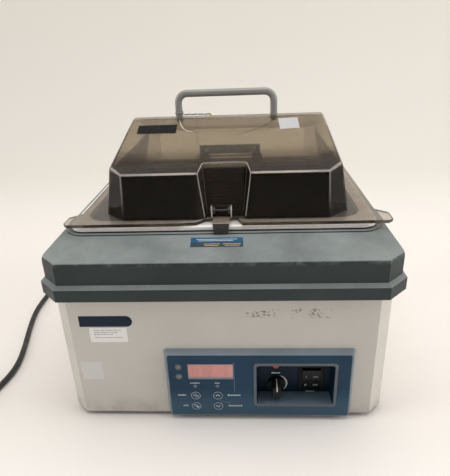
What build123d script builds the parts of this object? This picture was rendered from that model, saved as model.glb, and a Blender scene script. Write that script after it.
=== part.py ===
"""Laboratory water bath: a heated steel tank in a moulded deck and painted case, with a gabled
hinged cover, a front control panel and a mains lead.

Millimetres. +Z is up, -Y is the front and +X is to the right of someone facing the front.
The origin is on the bench, under the middle of the deck.
"""
from build123d import *
import math
import os

os.makedirs("parts", exist_ok=True)

# Clearances
seat_gap = 0.3          # between pieces that sit in one another without being pressed
running_gap = 0.05      # radial, between a pin or shaft and what turns on it
hole_gap = 0.4          # radial, around screws and stems

# Case and base
case_width = 342.0
case_depth = 342.0
case_corner = 14.5      # leg of the cut corner
sheet = 1.2             # case and base steel
foot_height = 5.0
foot_radius = 9.0
foot_inset = 30.0       # foot axis from the case sides
base_lip = 8.0          # height of the base plate's turned-up edge

# Deck
deck_overhang = 6.0     # deck's upper band beyond the case, each side
skirt_step = 4.5        # lower band beyond the upper band
deck_bottom = 154.0
skirt_height = 13.0
skirt_bevel = 3.2
band_height = 23.0
deck_rise = 7.0         # from the deck's outer edge up to its level middle
deck_wall = 3.0
deck_shoulder = 6.0     # level middle beyond the tank's rim, each side
deck_edge_round = 2.5
bead_width = 4.0
bead_height = 1.4
bead_gap = 1.0          # from the tank's rim to the bead

# Tank
tank_depth = 150.0
tank_sheet = 1.2
tank_corner = 24.0
tank_floor_round = 12.0
rim_ledge = 14.5        # rim beyond the tank's inside, all round
rim_corner = 18.0
rim_lip = 5.5           # height of the rim's turned-down edge
rim_round = 4.0         # outside radius of the roll at the rim's edge
front_margin = 60.5     # from the deck's front edge to the tank's rim
back_margin = 37.5      # from the tank's rim to the deck's back edge
gasket_height = 6.1
gasket_width = 6.8

# Inside the case
jacket_wall = 14.0      # insulation round the tank
jacket_drop = 12.0      # insulation's top below the deck's level middle
jacket_room = 6.3       # from the insulation to the case's sides
rail_width = 20.0
rail_inset = 48.0       # middle of a rail under the insulation, from the tank's inside
rail_end = 28.0         # end of a rail, from the tank's inside
heater_margin = 28.0    # heating pad's edge, from the tank's inside
heater_thickness = 3.0
tray_sheet = 1.0
tray_gap = 4.0          # tray to tank wall
tray_height = 20.0
tray_hole = 8.0         # diameter
tray_pitch = 22.0
tray_leg_end = 44.0     # end of a folded leg, from the tray's edge
probe_radius = 3.0
probe_length = 46.0
probe_height = 9.0      # above the tank floor
probe_spots = (-36.0, 36.0)

# Cover
cover_shift = 4.5       # the cover hangs this far right of the tank's middle
cover_wall = 2.8
flange_thickness = 3.4
cover_height = 86.3     # flange to ridge
side_draft = 0.181      # side walls lean in by this much for each millimetre of height
front_draft = 0.076
corner_foot = 22.5      # leg of the cover's cut corner at its foot
corner_top = 10.2
eave_height = 48.6      # flange to eave
ridge_half = 5.5
edge_round = 3.5
flange_setback = 3.5    # flange's sides inside the ends of the tank's rim
flange_overlap = 1.0    # flange beyond the tank's rim, front and back
flange_side = 28.0      # flange beyond the cover's side walls
flange_ledge = 10.0     # flange beyond the cover's front and back walls
ear_reach = 12.0        # flange's front ears beyond its sides
ear_length = 22.0
ear_slope = 11.0
recess_foot = 19.0      # half-width of the front recess's back wall, at its foot
recess_top = 23.0       # the same at the eave
recess_foot_depth = 8.5
recess_top_depth = 21.0
recess_flare = 0.25     # recess side walls open outwards by this much for each millimetre
notch_half = 12.2       # notch in the flange below the front recess
notch_flare = 6.0
notch_depth = 14.5
rear_recess_half = 49.0
rear_recess_depth = 15.0

# Handle
rod = 8.5
handle_x = 3.5          # middle of the bar, right of the tank's middle
handle_spacing = 114.5
handle_rise = 31.5      # ridge to the top of the bar
handle_bend = 11.0
stud_radius = 2.5
bush_radius = 3.9       # rubber bush round the stud, in the roof
bush_foot = 1.5
bush_foot_radius = 5.3
nut_height = 2.5
nut_across = 7.0

# Hinge
hinge_pin = 4.0
knuckle = 8.0           # outside diameter of the rolled knuckle
hinge_back = 5.5        # pin axis behind the cover flange
hinge_up = 3.0          # pin axis above the cover flange
hinge_x = 2.0           # middle of the hinge, right of the tank's middle
leaf_length = 89.0
leaf_arm = 12.0         # width of the leaf's two arms to the pin
leaf_sheet = 1.5
leaf_low = 13.0         # leaf's lower edge above the flange
leaf_high = 26.0
leaf_screw_spacing = 68.0
lug_sheet = 2.0
bracket_depth = 20.0
screw_radius = 2.0
screw_head = 3.6
screw_head_height = 1.8

# Catch
catch_x = 0.65          # middle of the catch, right of the tank's middle
catch_width = 21.7      # across its ears
catch_plate = 17.2      # width of its top and front plates
catch_sheet = 1.2
catch_clear = 0.8       # front plate beyond the deck's bead
catch_drop = 11.7       # front plate below the top plate
catch_ear = 13.3        # top of the ears above the top plate's underside
catch_pin = 2.4
catch_pin_height = 6.5  # pin axis above the top plate
catch_gap = 0.8         # top plate above the cover flange

# Control panel
panel_centre = 37.0     # right of the case's middle
panel_width = 198.0
panel_height = 86.0
panel_reach = 5.7       # housing beyond the case
panel_bevel_side = 2.9
panel_bevel_top = 3.8
panel_bevel_foot = 1.0
panel_wall = 2.5
film = 0.5              # printed film on the panel's face
film_margin = 1.2
opening_margin = 10.0   # case opening, inside the panel's outline
screw_inset = 5.5       # panel screws, from the panel's sides
screw_rise = 7.5        # and from its top and bottom

# On the panel's face: insets from the panel's left side, rises from its foot
window_inset = 48.6
window_rise = 60.8
window_width = 46.8
window_height = 18.4
lamp_inset = 15.1
lamp_rise_high = 66.7
lamp_rise_low = 54.4
lamp_radius = 2.4
key_inset = 31.4
key_spacing = 23.7
key_rise_high = 29.3
key_rise_low = 14.8
set_lamp_rise = 41.6
set_lamp_radius = 1.3
key_radius = 5.6
key_height = 1.7
key_proud = 0.5
key_travel = 0.5
key_stem = 1.5
well_inset = 60.85      # well's middle, from the panel's right side
well_rise = 43.1
well_width = 87.0
well_height = 57.0
well_border = 2.8
well_proud = 0.8
well_depth = 18.0
well_wall = 2.0
well_draft = 1.3
knob_left = 18.85       # knob, from the well's middle
knob_down = 13.1
knob_radius = 9.6
knob_skirt = 3.0
knob_height = 15.5
grip_width = 10.5
shaft_radius = 3.0
thermostat_radius = 15.0
thermostat_length = 20.0
well_lamp_left = 19.45
well_lamp_up = 11.7
well_lamp_radius = 3.6
switch_right = 18.75
switch_down = 4.6
switch_width = 26.8
switch_height = 32.0
rocker_width = 19.4
rocker_height = 27.6
rocker_tilt = 7.0       # degrees either side of level
board_margin = 11.75    # board's left edge, from the panel's left side
board_gap = 3.9         # board's right edge to the well
board_height = 56.0
board_sheet = 1.6
connector_width = 25.0
connector_height = 20.0
connector_depth = 4.0
capacitor_radius = 5.0
capacitor_length = 16.0
capacitor_spacing = 12.0
board_back = 11.5       # board's front face behind the panel's face

# Power supply on the base plate
transformer_inset = 41.0  # from the case's left side
transformer_length = 54.0
transformer_depth = 32.0
transformer_height = 42.0
transformer_gap = 6.0   # behind the case's front sheet
winding_length = 40.0
winding_depth = 40.0
winding_height = 24.0
relay_gap = 0.2         # from the well's border to the heat sink's fins
relay_body = 10.0
relay_width = 22.0
relay_low = 8.0
sink_gap = 8.0
sink_sheet = 4.0
sink_depth = 32.0
sink_height = 45.0
fin_reach = 10.0
fin_sheet = 2.0
fin_pitch = 8.0
fin_low = 5.0
terminal_x = -40.0
terminal_gap = 6.0
terminal_length = 40.0
terminal_depth = 16.0
terminal_height = 16.0
terminal_pitch = 9.0

# Deck fixings
boss_radius = 5.0
boss_side_inset = 21.0  # boss axis from the case's sides
boss_end_inset = 13.0   # and from its front and back
boss_rise = 22.0        # boss foot above the deck's lower edge
boss_bore = 12.0
bracket_sheet = 1.5
bracket_inner = 12.0    # bracket beyond the boss axis, inwards
bracket_outer = 5.0     # and outwards
bracket_lap = 8.0
bracket_skirt = 16.0

# Cord
cord = 7.0
gland_x = -110.0
gland_z = 30.0
gland_length = 30.0
floor_gap = 0.3         # under the cord where it lies on the bench
coil_turns = 5
coil_radius = 51.0
coil_pitch = 7.8        # from one turn to the next, across and up
plug_lead = 32.0        # straight cord between the coil and the plug
plug_length = 46.0
plug_width = 27.0

# Levels and places that follow
case_bottom = foot_height
deck_band_width = case_width + 2 * deck_overhang
deck_band_depth = case_depth + 2 * deck_overhang
deck_edge = deck_bottom + skirt_height + skirt_bevel + band_height
deck_level = deck_edge + deck_rise
case_top = deck_edge - deck_wall
rim_top = deck_level + gasket_height + tank_sheet
tank_floor = rim_top - tank_depth
deck_front = -deck_band_depth / 2 - skirt_step
tank_length = case_width - 2 * (sheet + jacket_room + jacket_wall + seat_gap + tank_sheet)
rim_length = tank_length + 2 * rim_ledge
rim_width = -2 * deck_front - front_margin - back_margin
tank_width = rim_width - 2 * rim_ledge
tank_y = deck_front + front_margin + rim_width / 2
rim_front = tank_y - rim_width / 2
rim_back = tank_y + rim_width / 2
flange_low = rim_top + seat_gap
flange_top = flange_low + flange_thickness
ridge_top = flange_top + cover_height
flange_length = rim_length - 2 * flange_setback
cover_length = flange_length - 2 * flange_side
cover_width = rim_width + 2 * flange_overlap - 2 * flange_ledge
case_front = -case_depth / 2
case_back = case_depth / 2
panel_face = case_front - panel_reach
film_face = panel_face - film
panel_low = case_bottom
panel_z = panel_low + panel_height / 2
panel_left = panel_centre - panel_width / 2
panel_right = panel_centre + panel_width / 2
window_x = panel_left + window_inset
window_z = panel_low + window_rise
lamp_x = panel_left + lamp_inset
lamp_high = panel_low + lamp_rise_high
lamp_low = panel_low + lamp_rise_low
key_columns = (panel_left + key_inset, panel_left + key_inset + key_spacing)
key_rows = (panel_low + key_rise_high, panel_low + key_rise_low)
set_lamp_z = panel_low + set_lamp_rise
well_back = film_face + well_depth
well_x = panel_right - well_inset
well_z = panel_low + well_rise
knob_x = well_x - knob_left
knob_z = well_z - knob_down
well_lamp_x = well_x - well_lamp_left
well_lamp_z = well_z + well_lamp_up
switch_x = well_x + switch_right
switch_z = well_z - switch_down
lid_middle = (cover_shift, tank_y)


def grown_corner(leg, growth):
    """Leg of a cut corner after its outline is moved outwards by growth."""
    return leg + growth * (2 - math.sqrt(2))


def cut_rectangle(plane, width, depth, leg, centre=(0, 0)):
    """A rectangle with cut corners."""
    with BuildSketch(plane) as outline:
        with Locations(centre):
            Rectangle(width, depth)
        chamfer(outline.vertices(), leg)
    return outline.sketch


def round_rectangle(plane, width, depth, radius, centre=(0, 0)):
    """A rectangle with round corners."""
    with BuildSketch(plane) as outline:
        with Locations(centre):
            RectangleRounded(width, depth, radius)
    return outline.sketch


def block(low, high, mode=Mode.ADD):
    """A box between two opposite corners, in the part that is open."""
    size = [top - bottom for bottom, top in zip(low, high)]
    middle = (Vector(*low) + Vector(*high)) / 2
    with Locations(middle):
        Box(*size, mode=mode)


def facing(y, x=0.0, z=0.0):
    """A plane that faces the front: its x is to the right and its y is up."""
    return Plane(origin=(x, y, z), x_dir=(1, 0, 0), z_dir=(0, -1, 0))


def level(z, x=0.0, y=0.0):
    """A level plane."""
    return Plane.XY.offset(z).move(Location((x, y, 0)))


def across(x, y=0.0, z=0.0):
    """A plane that faces +X: its x runs back and its y is up."""
    return Plane(origin=(x, y, z), x_dir=(0, 1, 0), z_dir=(1, 0, 0))


def save(piece, label):
    """Name a piece and write it."""
    piece.part.label = label
    export_step(piece.part, f"parts/{label}.step")


# Case: a folded steel wrap, open at the top and bottom
opening_width = panel_width - 2 * opening_margin
opening_height = panel_height - 2 * opening_margin
with BuildPart() as outer_case:
    extrude(cut_rectangle(level(case_bottom + sheet), case_width, case_depth, case_corner),
            amount=case_top - case_bottom - sheet)
    inner_leg = grown_corner(case_corner, -sheet)
    extrude(cut_rectangle(level(case_bottom), case_width - 2 * sheet, case_depth - 2 * sheet, inner_leg),
            amount=case_top, mode=Mode.SUBTRACT)
    with BuildSketch(facing(case_front + sheet + 1, panel_centre, panel_z)):
        Rectangle(opening_width, opening_height)
    extrude(amount=sheet + 2, mode=Mode.SUBTRACT)
    with BuildSketch(facing(case_back + 1, gland_x, gland_z)):
        Circle(cord / 2 + 2.5)
    extrude(amount=sheet + 2, mode=Mode.SUBTRACT)
    with BuildSketch(facing(case_front + sheet + 1, panel_centre, panel_z)):
        with GridLocations(panel_width - 2 * screw_inset, panel_height - 2 * screw_rise, 2, 2):
            Circle(screw_radius + hole_gap)
    extrude(amount=sheet + 2, mode=Mode.SUBTRACT)
save(outer_case, "outer_case")

# Base plate: a shallow steel pan with air slots
slot_count = 9
with BuildPart() as base_plate:
    extrude(cut_rectangle(level(case_bottom), case_width, case_depth, case_corner), amount=sheet)
    lip_growth = -sheet - seat_gap
    lip_width = case_width + 2 * lip_growth
    lip_depth = case_depth + 2 * lip_growth
    lip_leg = grown_corner(case_corner, lip_growth)
    extrude(cut_rectangle(level(case_bottom + sheet), lip_width, lip_depth, lip_leg), amount=base_lip)
    extrude(cut_rectangle(level(case_bottom + sheet), lip_width - 2 * sheet, lip_depth - 2 * sheet,
                          grown_corner(lip_leg, -sheet)),
            amount=base_lip, mode=Mode.SUBTRACT)
    with BuildSketch(level(case_bottom)):
        with GridLocations(12, 1, slot_count, 1):
            SlotOverall(80, 4, rotation=90)
        with GridLocations(case_width - 2 * foot_inset, case_depth - 2 * foot_inset, 2, 2):
            Circle(screw_radius + hole_gap)
    extrude(amount=sheet, mode=Mode.SUBTRACT)
    with BuildSketch(facing(case_front + 2 * sheet + 2, panel_centre, panel_z)):
        with GridLocations(panel_width - 2 * screw_inset, panel_height - 2 * screw_rise, 2, 2):
            Circle(screw_head + 1)
    extrude(amount=2 * sheet + 2, mode=Mode.SUBTRACT)
save(base_plate, "base_plate")

# Feet, each held by one screw from below
foot_grid = GridLocations(case_width - 2 * foot_inset, case_depth - 2 * foot_inset, 2, 2).locations
foot_recess = 2.6
with BuildPart() as rubber_feet:
    with BuildSketch(level(0)):
        with Locations(*foot_grid):
            Circle(foot_radius)
    extrude(amount=foot_height, taper=-4)
    with BuildSketch(level(0)):
        with Locations(*foot_grid):
            Circle(screw_head + hole_gap)
    extrude(amount=foot_recess, mode=Mode.SUBTRACT)
    with BuildSketch(level(0)):
        with Locations(*foot_grid):
            Circle(screw_radius + hole_gap / 2)
    extrude(amount=foot_height, mode=Mode.SUBTRACT)
save(rubber_feet, "rubber_feet")

with BuildPart() as foot_screws:
    with BuildSketch(level(foot_recess - screw_head_height)):
        with Locations(*foot_grid):
            Circle(screw_head)
    extrude(amount=screw_head_height)
    with BuildSketch(level(foot_recess)):
        with Locations(*foot_grid):
            Circle(screw_radius)
    extrude(amount=foot_height - foot_recess + sheet + 5)
save(foot_screws, "foot_screws")


def deck_form():
    """The deck's outer form: a projecting skirt, a band and a top that rises to a level middle."""
    middle_width = rim_length + 2 * (bead_gap + bead_width + deck_shoulder / 2)
    middle_depth = rim_width + 2 * (bead_gap + bead_width + deck_shoulder / 2)
    band_leg = grown_corner(case_corner, deck_overhang)
    skirt_leg = grown_corner(band_leg, skirt_step)
    skirt_width = deck_band_width + 2 * skirt_step
    skirt_depth = deck_band_depth + 2 * skirt_step
    skirt_top = deck_bottom + skirt_height
    band_bottom = skirt_top + skirt_bevel
    with BuildPart() as form:
        extrude(cut_rectangle(level(deck_bottom), skirt_width, skirt_depth, skirt_leg), amount=skirt_height)
        loft([cut_rectangle(level(skirt_top), skirt_width, skirt_depth, skirt_leg),
              cut_rectangle(level(band_bottom), deck_band_width, deck_band_depth, band_leg)], ruled=True)
        extrude(cut_rectangle(level(band_bottom), deck_band_width, deck_band_depth, band_leg),
                amount=band_height)
        loft([cut_rectangle(level(deck_edge), deck_band_width, deck_band_depth, band_leg),
              cut_rectangle(level(deck_level), middle_width, middle_depth, band_leg, (0, tank_y))],
             ruled=True)
        top_edges = form.edges().filter_by_position(Axis.Z, deck_edge - 0.1, deck_edge + 0.1)
        fillet(top_edges, deck_edge_round)
    return form.part


# Deck: one moulding, hollow below, with a bead round the tank and a seat for the hinge
deck_hole_length = tank_length + 2 * (tank_sheet + 2)
deck_hole_width = tank_width + 2 * (tank_sheet + 2)
boss_x = case_width / 2 - boss_side_inset
boss_y = case_depth / 2 - boss_end_inset
boss_low = deck_bottom + boss_rise
hinge_y = rim_back + flange_overlap + hinge_back
hinge_z = flange_top + hinge_up
seat_z = deck_level + bead_height
bracket_length = leaf_length + 2 * (lug_sheet + seat_gap)
bracket_front = hinge_y - 4
with BuildPart() as top_deck:
    add(deck_form())
    cavity_growth = deck_overhang - deck_wall
    cavity_width = case_width + 2 * cavity_growth
    cavity_depth = case_depth + 2 * cavity_growth
    cavity_leg = grown_corner(case_corner, cavity_growth)
    extrude(cut_rectangle(level(deck_bottom), cavity_width, cavity_depth, cavity_leg),
            amount=deck_edge - deck_wall - deck_bottom, mode=Mode.SUBTRACT)
    loft([cut_rectangle(level(deck_edge - deck_wall), cavity_width, cavity_depth, cavity_leg),
          cut_rectangle(level(deck_level - deck_wall), rim_length, rim_width, cavity_leg, (0, tank_y))],
         ruled=True, mode=Mode.SUBTRACT)
    with BuildSketch(level(boss_low)):
        with GridLocations(2 * boss_x, 2 * boss_y, 2, 2):
            Circle(boss_radius)
    extrude(amount=deck_level - boss_low)
    add(deck_form(), mode=Mode.INTERSECT)
    bead_length_out = rim_length + 2 * (bead_gap + bead_width)
    bead_width_out = rim_width + 2 * (bead_gap + bead_width)
    bead_corner = rim_corner + bead_gap
    extrude(round_rectangle(level(deck_level), bead_length_out, bead_width_out,
                            bead_corner + bead_width, (0, tank_y)), amount=bead_height)
    fillet(top_deck.edges().filter_by_position(Axis.Z, seat_z - 0.1, seat_z + 0.1), bead_height * 0.8)
    extrude(round_rectangle(level(deck_level), bead_length_out - 2 * bead_width,
                            bead_width_out - 2 * bead_width, bead_corner, (0, tank_y)),
            amount=bead_height, mode=Mode.SUBTRACT)
    block((hinge_x - bracket_length / 2 - 2, bracket_front - 1, deck_edge - 1),
          (hinge_x + bracket_length / 2 + 2, bracket_front + bracket_depth + 1, seat_z))
    extrude(round_rectangle(level(deck_bottom), deck_hole_length, deck_hole_width,
                            tank_corner + tank_sheet + 2, (0, tank_y)),
            amount=deck_level - deck_bottom + bead_height, mode=Mode.SUBTRACT)
    with BuildSketch(level(boss_low)):
        with GridLocations(2 * boss_x, 2 * boss_y, 2, 2):
            Circle(screw_radius)
    extrude(amount=boss_bore, mode=Mode.SUBTRACT)
    with BuildSketch(level(seat_z, hinge_x, bracket_front + bracket_depth - 6)):
        with GridLocations(leaf_screw_spacing, 1, 2, 1):
            Circle(screw_radius)
    extrude(amount=-7, mode=Mode.SUBTRACT)
save(top_deck, "top_deck")

# Brackets on the case's walls that hold the deck down, and their screws
bracket_top = boss_low
wall_y = case_depth / 2 - sheet
with BuildPart() as deck_brackets:
    for side in (-1, 1):
        for end in (-1, 1):
            near, far = sorted((side * (boss_x - bracket_inner), side * (boss_x + bracket_outer)))
            inner, outer = sorted((end * (boss_y - bracket_lap), end * wall_y))
            block((near, inner, bracket_top - bracket_sheet), (far, outer, bracket_top))
            skin, back = sorted((end * (wall_y - bracket_sheet), end * wall_y))
            block((near, skin, bracket_top - bracket_skirt), (far, back, bracket_top))
    with BuildSketch(level(bracket_top)):
        with GridLocations(2 * boss_x, 2 * boss_y, 2, 2):
            Circle(screw_radius + hole_gap / 2)
    extrude(amount=-bracket_sheet, mode=Mode.SUBTRACT)
save(deck_brackets, "deck_brackets")

with BuildPart() as deck_screws:
    with BuildSketch(level(bracket_top - bracket_sheet)):
        with GridLocations(2 * boss_x, 2 * boss_y, 2, 2):
            Circle(screw_head)
    extrude(amount=-screw_head_height)
    with BuildSketch(level(bracket_top - bracket_sheet)):
        with GridLocations(2 * boss_x, 2 * boss_y, 2, 2):
            Circle(screw_radius)
    extrude(amount=bracket_sheet + boss_bore - 2)
save(deck_screws, "deck_screws")


def pan(length, width, corner, bottom, top, floor_round):
    """A solid block with round corners and a rounded floor edge, in the tank's place."""
    with BuildPart() as form:
        extrude(round_rectangle(level(bottom), length, width, corner, (0, tank_y)), amount=top - bottom)
        fillet(form.faces().sort_by(Axis.Z)[0].edges(), floor_round)
    return form.part


# Tank: a deep-drawn steel pan with a flat rim that is rolled down at its edge
tank_out_length = tank_length + 2 * tank_sheet
tank_out_width = tank_width + 2 * tank_sheet
with BuildPart() as rim_hollow:
    extrude(round_rectangle(level(rim_top - rim_lip), rim_length - 2 * tank_sheet,
                            rim_width - 2 * tank_sheet, rim_corner - tank_sheet, (0, tank_y)),
            amount=rim_lip - tank_sheet)
    fillet(rim_hollow.faces().sort_by(Axis.Z)[-1].edges(), rim_round - tank_sheet)
    extrude(round_rectangle(level(rim_top - rim_lip), tank_out_length, tank_out_width,
                            tank_corner + tank_sheet, (0, tank_y)),
            amount=rim_lip, mode=Mode.SUBTRACT)

with BuildPart() as tank:
    add(pan(tank_out_length, tank_out_width, tank_corner + tank_sheet, tank_floor - tank_sheet,
            rim_top, tank_floor_round + tank_sheet))
    extrude(round_rectangle(level(rim_top), rim_length, rim_width, rim_corner, (0, tank_y)),
            amount=-rim_lip)
    fillet(tank.faces().sort_by(Axis.Z)[-1].edges(), rim_round)
    add(rim_hollow.part, mode=Mode.SUBTRACT)
    add(pan(tank_length, tank_width, tank_corner, tank_floor, rim_top + 1, tank_floor_round),
        mode=Mode.SUBTRACT)
    with BuildSketch(facing(tank_y - tank_out_width / 2 - 1, 0, tank_floor + probe_height)):
        with Locations(*[(spot, 0) for spot in probe_spots]):
            Circle(probe_radius + hole_gap / 4)
    extrude(amount=-tank_sheet - 3, mode=Mode.SUBTRACT)
save(tank, "tank")

# Gasket between the tank's rim and the deck
gasket_length_out = rim_length - 2 * (rim_round + seat_gap)
gasket_width_out = rim_width - 2 * (rim_round + seat_gap)
gasket_corner = rim_corner - rim_round - seat_gap
with BuildPart() as tank_gasket:
    extrude(round_rectangle(level(deck_level), gasket_length_out, gasket_width_out, gasket_corner,
                            (0, tank_y)), amount=gasket_height)
    extrude(round_rectangle(level(deck_level), gasket_length_out - 2 * gasket_width,
                            gasket_width_out - 2 * gasket_width, gasket_corner - gasket_width, (0, tank_y)),
            amount=gasket_height, mode=Mode.SUBTRACT)
save(tank_gasket, "tank_gasket")

# Heating pad bonded under the tank
heater_top = tank_floor - tank_sheet
heater_length = tank_length - 2 * heater_margin
heater_width = tank_width - 2 * heater_margin
with BuildPart() as heater_pad:
    extrude(round_rectangle(level(heater_top), heater_length, heater_width, 10, (0, tank_y)),
            amount=-heater_thickness)
save(heater_pad, "heater_pad")

# Insulation: a box of foam round the tank and the pad
jacket_inside_low = heater_top - heater_thickness - seat_gap
jacket_low = jacket_inside_low - jacket_wall
jacket_top = deck_level - jacket_drop
jacket_inside_length = tank_out_length + 2 * seat_gap
jacket_inside_width = tank_out_width + 2 * seat_gap
jacket_front = tank_y - jacket_inside_width / 2 - jacket_wall
with BuildPart() as insulation_jacket:
    extrude(round_rectangle(level(jacket_low), jacket_inside_length + 2 * jacket_wall,
                            jacket_inside_width + 2 * jacket_wall, 10, (0, tank_y)),
            amount=jacket_top - jacket_low)
    extrude(round_rectangle(level(jacket_inside_low), jacket_inside_length, jacket_inside_width,
                            tank_corner, (0, tank_y)),
            amount=jacket_top, mode=Mode.SUBTRACT)
    with BuildSketch(facing(jacket_front - 1, 0, tank_floor + probe_height)):
        with Locations(*[(spot, 0) for spot in probe_spots]):
            Circle(probe_radius + 5)
    extrude(amount=-jacket_wall - 2, mode=Mode.SUBTRACT)
save(insulation_jacket, "insulation_jacket")

# Jacket supports: two foam-faced rails on the base plate
rail_x = tank_length / 2 - rail_inset
rail_half = tank_width / 2 - rail_end
with BuildPart() as jacket_rails:
    for side in (-1, 1):
        block((side * rail_x - rail_width / 2, tank_y - rail_half, case_bottom + sheet),
              (side * rail_x + rail_width / 2, tank_y + rail_half, jacket_low))
save(jacket_rails, "jacket_rails")

# Probes through the tank's front wall: one for control, one for the safety cut-out
probe_flange = 6.0
with BuildPart() as temperature_probes:
    for spot in probe_spots:
        wall_front = tank_y - tank_out_width / 2
        with BuildSketch(facing(wall_front + probe_length, spot, tank_floor + probe_height)):
            Circle(probe_radius)
        extrude(amount=probe_length + 8)
        with BuildSketch(facing(wall_front, spot, tank_floor + probe_height)):
            RegularPolygon(probe_flange, 6)
        extrude(amount=4)
save(temperature_probes, "temperature_probes")

# Perforated tray on two folded legs
tray_length = tank_length - 2 * tray_gap
tray_width = tank_width - 2 * tray_gap
tray_top = tank_floor + tray_height
tray_columns = int((tray_length - 30) // tray_pitch)
tray_rows = int((tray_width - 30) // tray_pitch)
tray_leg_x = tray_length / 2 - tank_floor_round - 8
tray_leg_half = tray_width / 2 - tray_leg_end
with BuildPart() as perforated_tray:
    extrude(round_rectangle(level(tray_top), tray_length, tray_width, tank_corner - tray_gap, (0, tank_y)),
            amount=-tray_sheet)
    with BuildSketch(level(tray_top)):
        with Locations((0, tank_y)):
            with GridLocations(tray_pitch, tray_pitch, tray_columns, tray_rows):
                Circle(tray_hole / 2)
    extrude(amount=-tray_sheet, mode=Mode.SUBTRACT)
    for side in (-1, 1):
        block((side * tray_leg_x - tray_sheet / 2, tank_y - tray_leg_half, tank_floor),
              (side * tray_leg_x + tray_sheet / 2, tank_y + tray_leg_half, tray_top - tray_sheet))
save(perforated_tray, "perforated_tray")


def recess(side, half_foot, half_top, depth_foot, depth_top, flare, growth):
    """A block that hollows the cover's front (side -1) or back (side 1), from below its flange up."""
    outside = cover_width / 2 + 20
    top_z = ridge_top + 10
    climb = (top_z - flange_top) / eave_height
    sections = []
    for z, fraction in ((flange_top, 0.0), (top_z, climb)):
        half = half_foot + (half_top - half_foot) * fraction + growth
        depth = depth_foot + (depth_top - depth_foot) * fraction + growth
        panel = side * (cover_width / 2 - depth)
        mouth = side * outside
        spread = flare * abs(mouth - panel)
        with BuildSketch(level(z, *lid_middle)) as section:
            with BuildLine():
                Polyline((-half, panel), (half, panel), (half + spread, mouth),
                         (-half - spread, mouth), close=True)
            make_face()
        sections.append(section.sketch)
    with BuildPart() as cutter:
        loft(sections, ruled=True)
    return cutter.part


def cover_form(inset):
    """The cover's gabled form, its walls and roof moved inwards by inset."""
    half_width = cover_width / 2
    eave_half = half_width - front_draft * eave_height
    roof_slope = (cover_height - eave_height) / (eave_half - ridge_half)
    roof_drop = inset * math.sqrt(1 + roof_slope ** 2)
    top_length = cover_length - 2 * side_draft * cover_height
    top_width = cover_width - 2 * front_draft * cover_height
    foot_leg = grown_corner(corner_foot, -inset)
    top_leg = grown_corner(corner_top, -inset)
    with BuildPart() as form:
        loft([cut_rectangle(level(flange_top), cover_length - 2 * inset, cover_width - 2 * inset,
                            foot_leg, lid_middle),
              cut_rectangle(level(ridge_top), top_length - 2 * inset, top_width - 2 * inset,
                            top_leg, lid_middle)], ruled=True)
        reach = half_width + 10
        low_corner = cover_height - roof_slope * (reach - ridge_half) - roof_drop
        peak = cover_height - roof_drop
        with BuildSketch(across(cover_shift - cover_length / 2, tank_y, flange_top)):
            with BuildLine():
                Polyline((-reach, -1), (reach, -1), (reach, low_corner), (ridge_half, peak),
                         (-ridge_half, peak), (-reach, low_corner), close=True)
            make_face()
        extrude(amount=cover_length, mode=Mode.INTERSECT)
        if inset == 0:
            fillet(form.edges().filter_by_position(Axis.Z, flange_top + 1, ridge_top + 1), edge_round)
        add(recess(-1, recess_foot, recess_top, recess_foot_depth, recess_top_depth, recess_flare, inset),
            mode=Mode.SUBTRACT)
        add(recess(1, rear_recess_half, rear_recess_half, rear_recess_depth, rear_recess_depth, 0, inset),
            mode=Mode.SUBTRACT)
    return form.part


def flange_outline(z):
    """The flange's outline: ears at the front corners, a notch below the recess and a chipped edge."""
    half = flange_length / 2
    front = -rim_width / 2 - flange_overlap
    back = rim_width / 2 + flange_overlap
    ear = half + ear_reach
    chip = -notch_half
    with BuildSketch(level(z, *lid_middle)) as outline:
        with BuildLine():
            Polyline(
                (-half, back - 8), (-half + 8, back), (half - 8, back), (half, back - 8),
                (half, front + ear_length + ear_slope), (ear, front + ear_length), (ear, front + 5),
                (ear - 5, front), (notch_half + notch_flare, front), (notch_half, front + notch_depth),
                (chip, front + notch_depth), (chip - 3.2, front + 13), (chip - 8.4, front + 12),
                (chip - 12.8, front + 7.6), (chip - 18, front + 2.8), (chip - 30, front + 1.8),
                (chip - 38, front),
                (-ear + 5, front), (-ear, front + 5), (-ear, front + ear_length),
                (-half, front + ear_length + ear_slope), close=True)
        make_face()
    return outline.sketch


# Cover: a thermoformed gabled shell with a flange that rests over the tank's rim
handle_holes = [(handle_x + side * handle_spacing / 2, tank_y) for side in (-1, 1)]
rear_panel = tank_y + cover_width / 2 - rear_recess_depth
leaf_screw_z = flange_top + (leaf_low + leaf_high) / 2
with BuildPart() as lid_cover:
    add(cover_form(0))
    extrude(flange_outline(flange_low), amount=flange_thickness)
    add(cover_form(cover_wall), mode=Mode.SUBTRACT)
    extrude(cover_form(cover_wall).faces().sort_by(Axis.Z)[0], amount=flange_thickness, dir=(0, 0, -1),
            mode=Mode.SUBTRACT)
    with BuildSketch(level(ridge_top + 1)):
        with Locations(*handle_holes):
            Circle(bush_radius + 0.1)
    extrude(amount=-cover_wall - 4, mode=Mode.SUBTRACT)
    with BuildSketch(facing(rear_panel + 1, hinge_x, leaf_screw_z)):
        with GridLocations(leaf_screw_spacing, 1, 2, 1):
            Circle(screw_radius + 0.1)
    extrude(amount=cover_wall + 2, mode=Mode.SUBTRACT)
save(lid_cover, "lid_cover")

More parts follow.
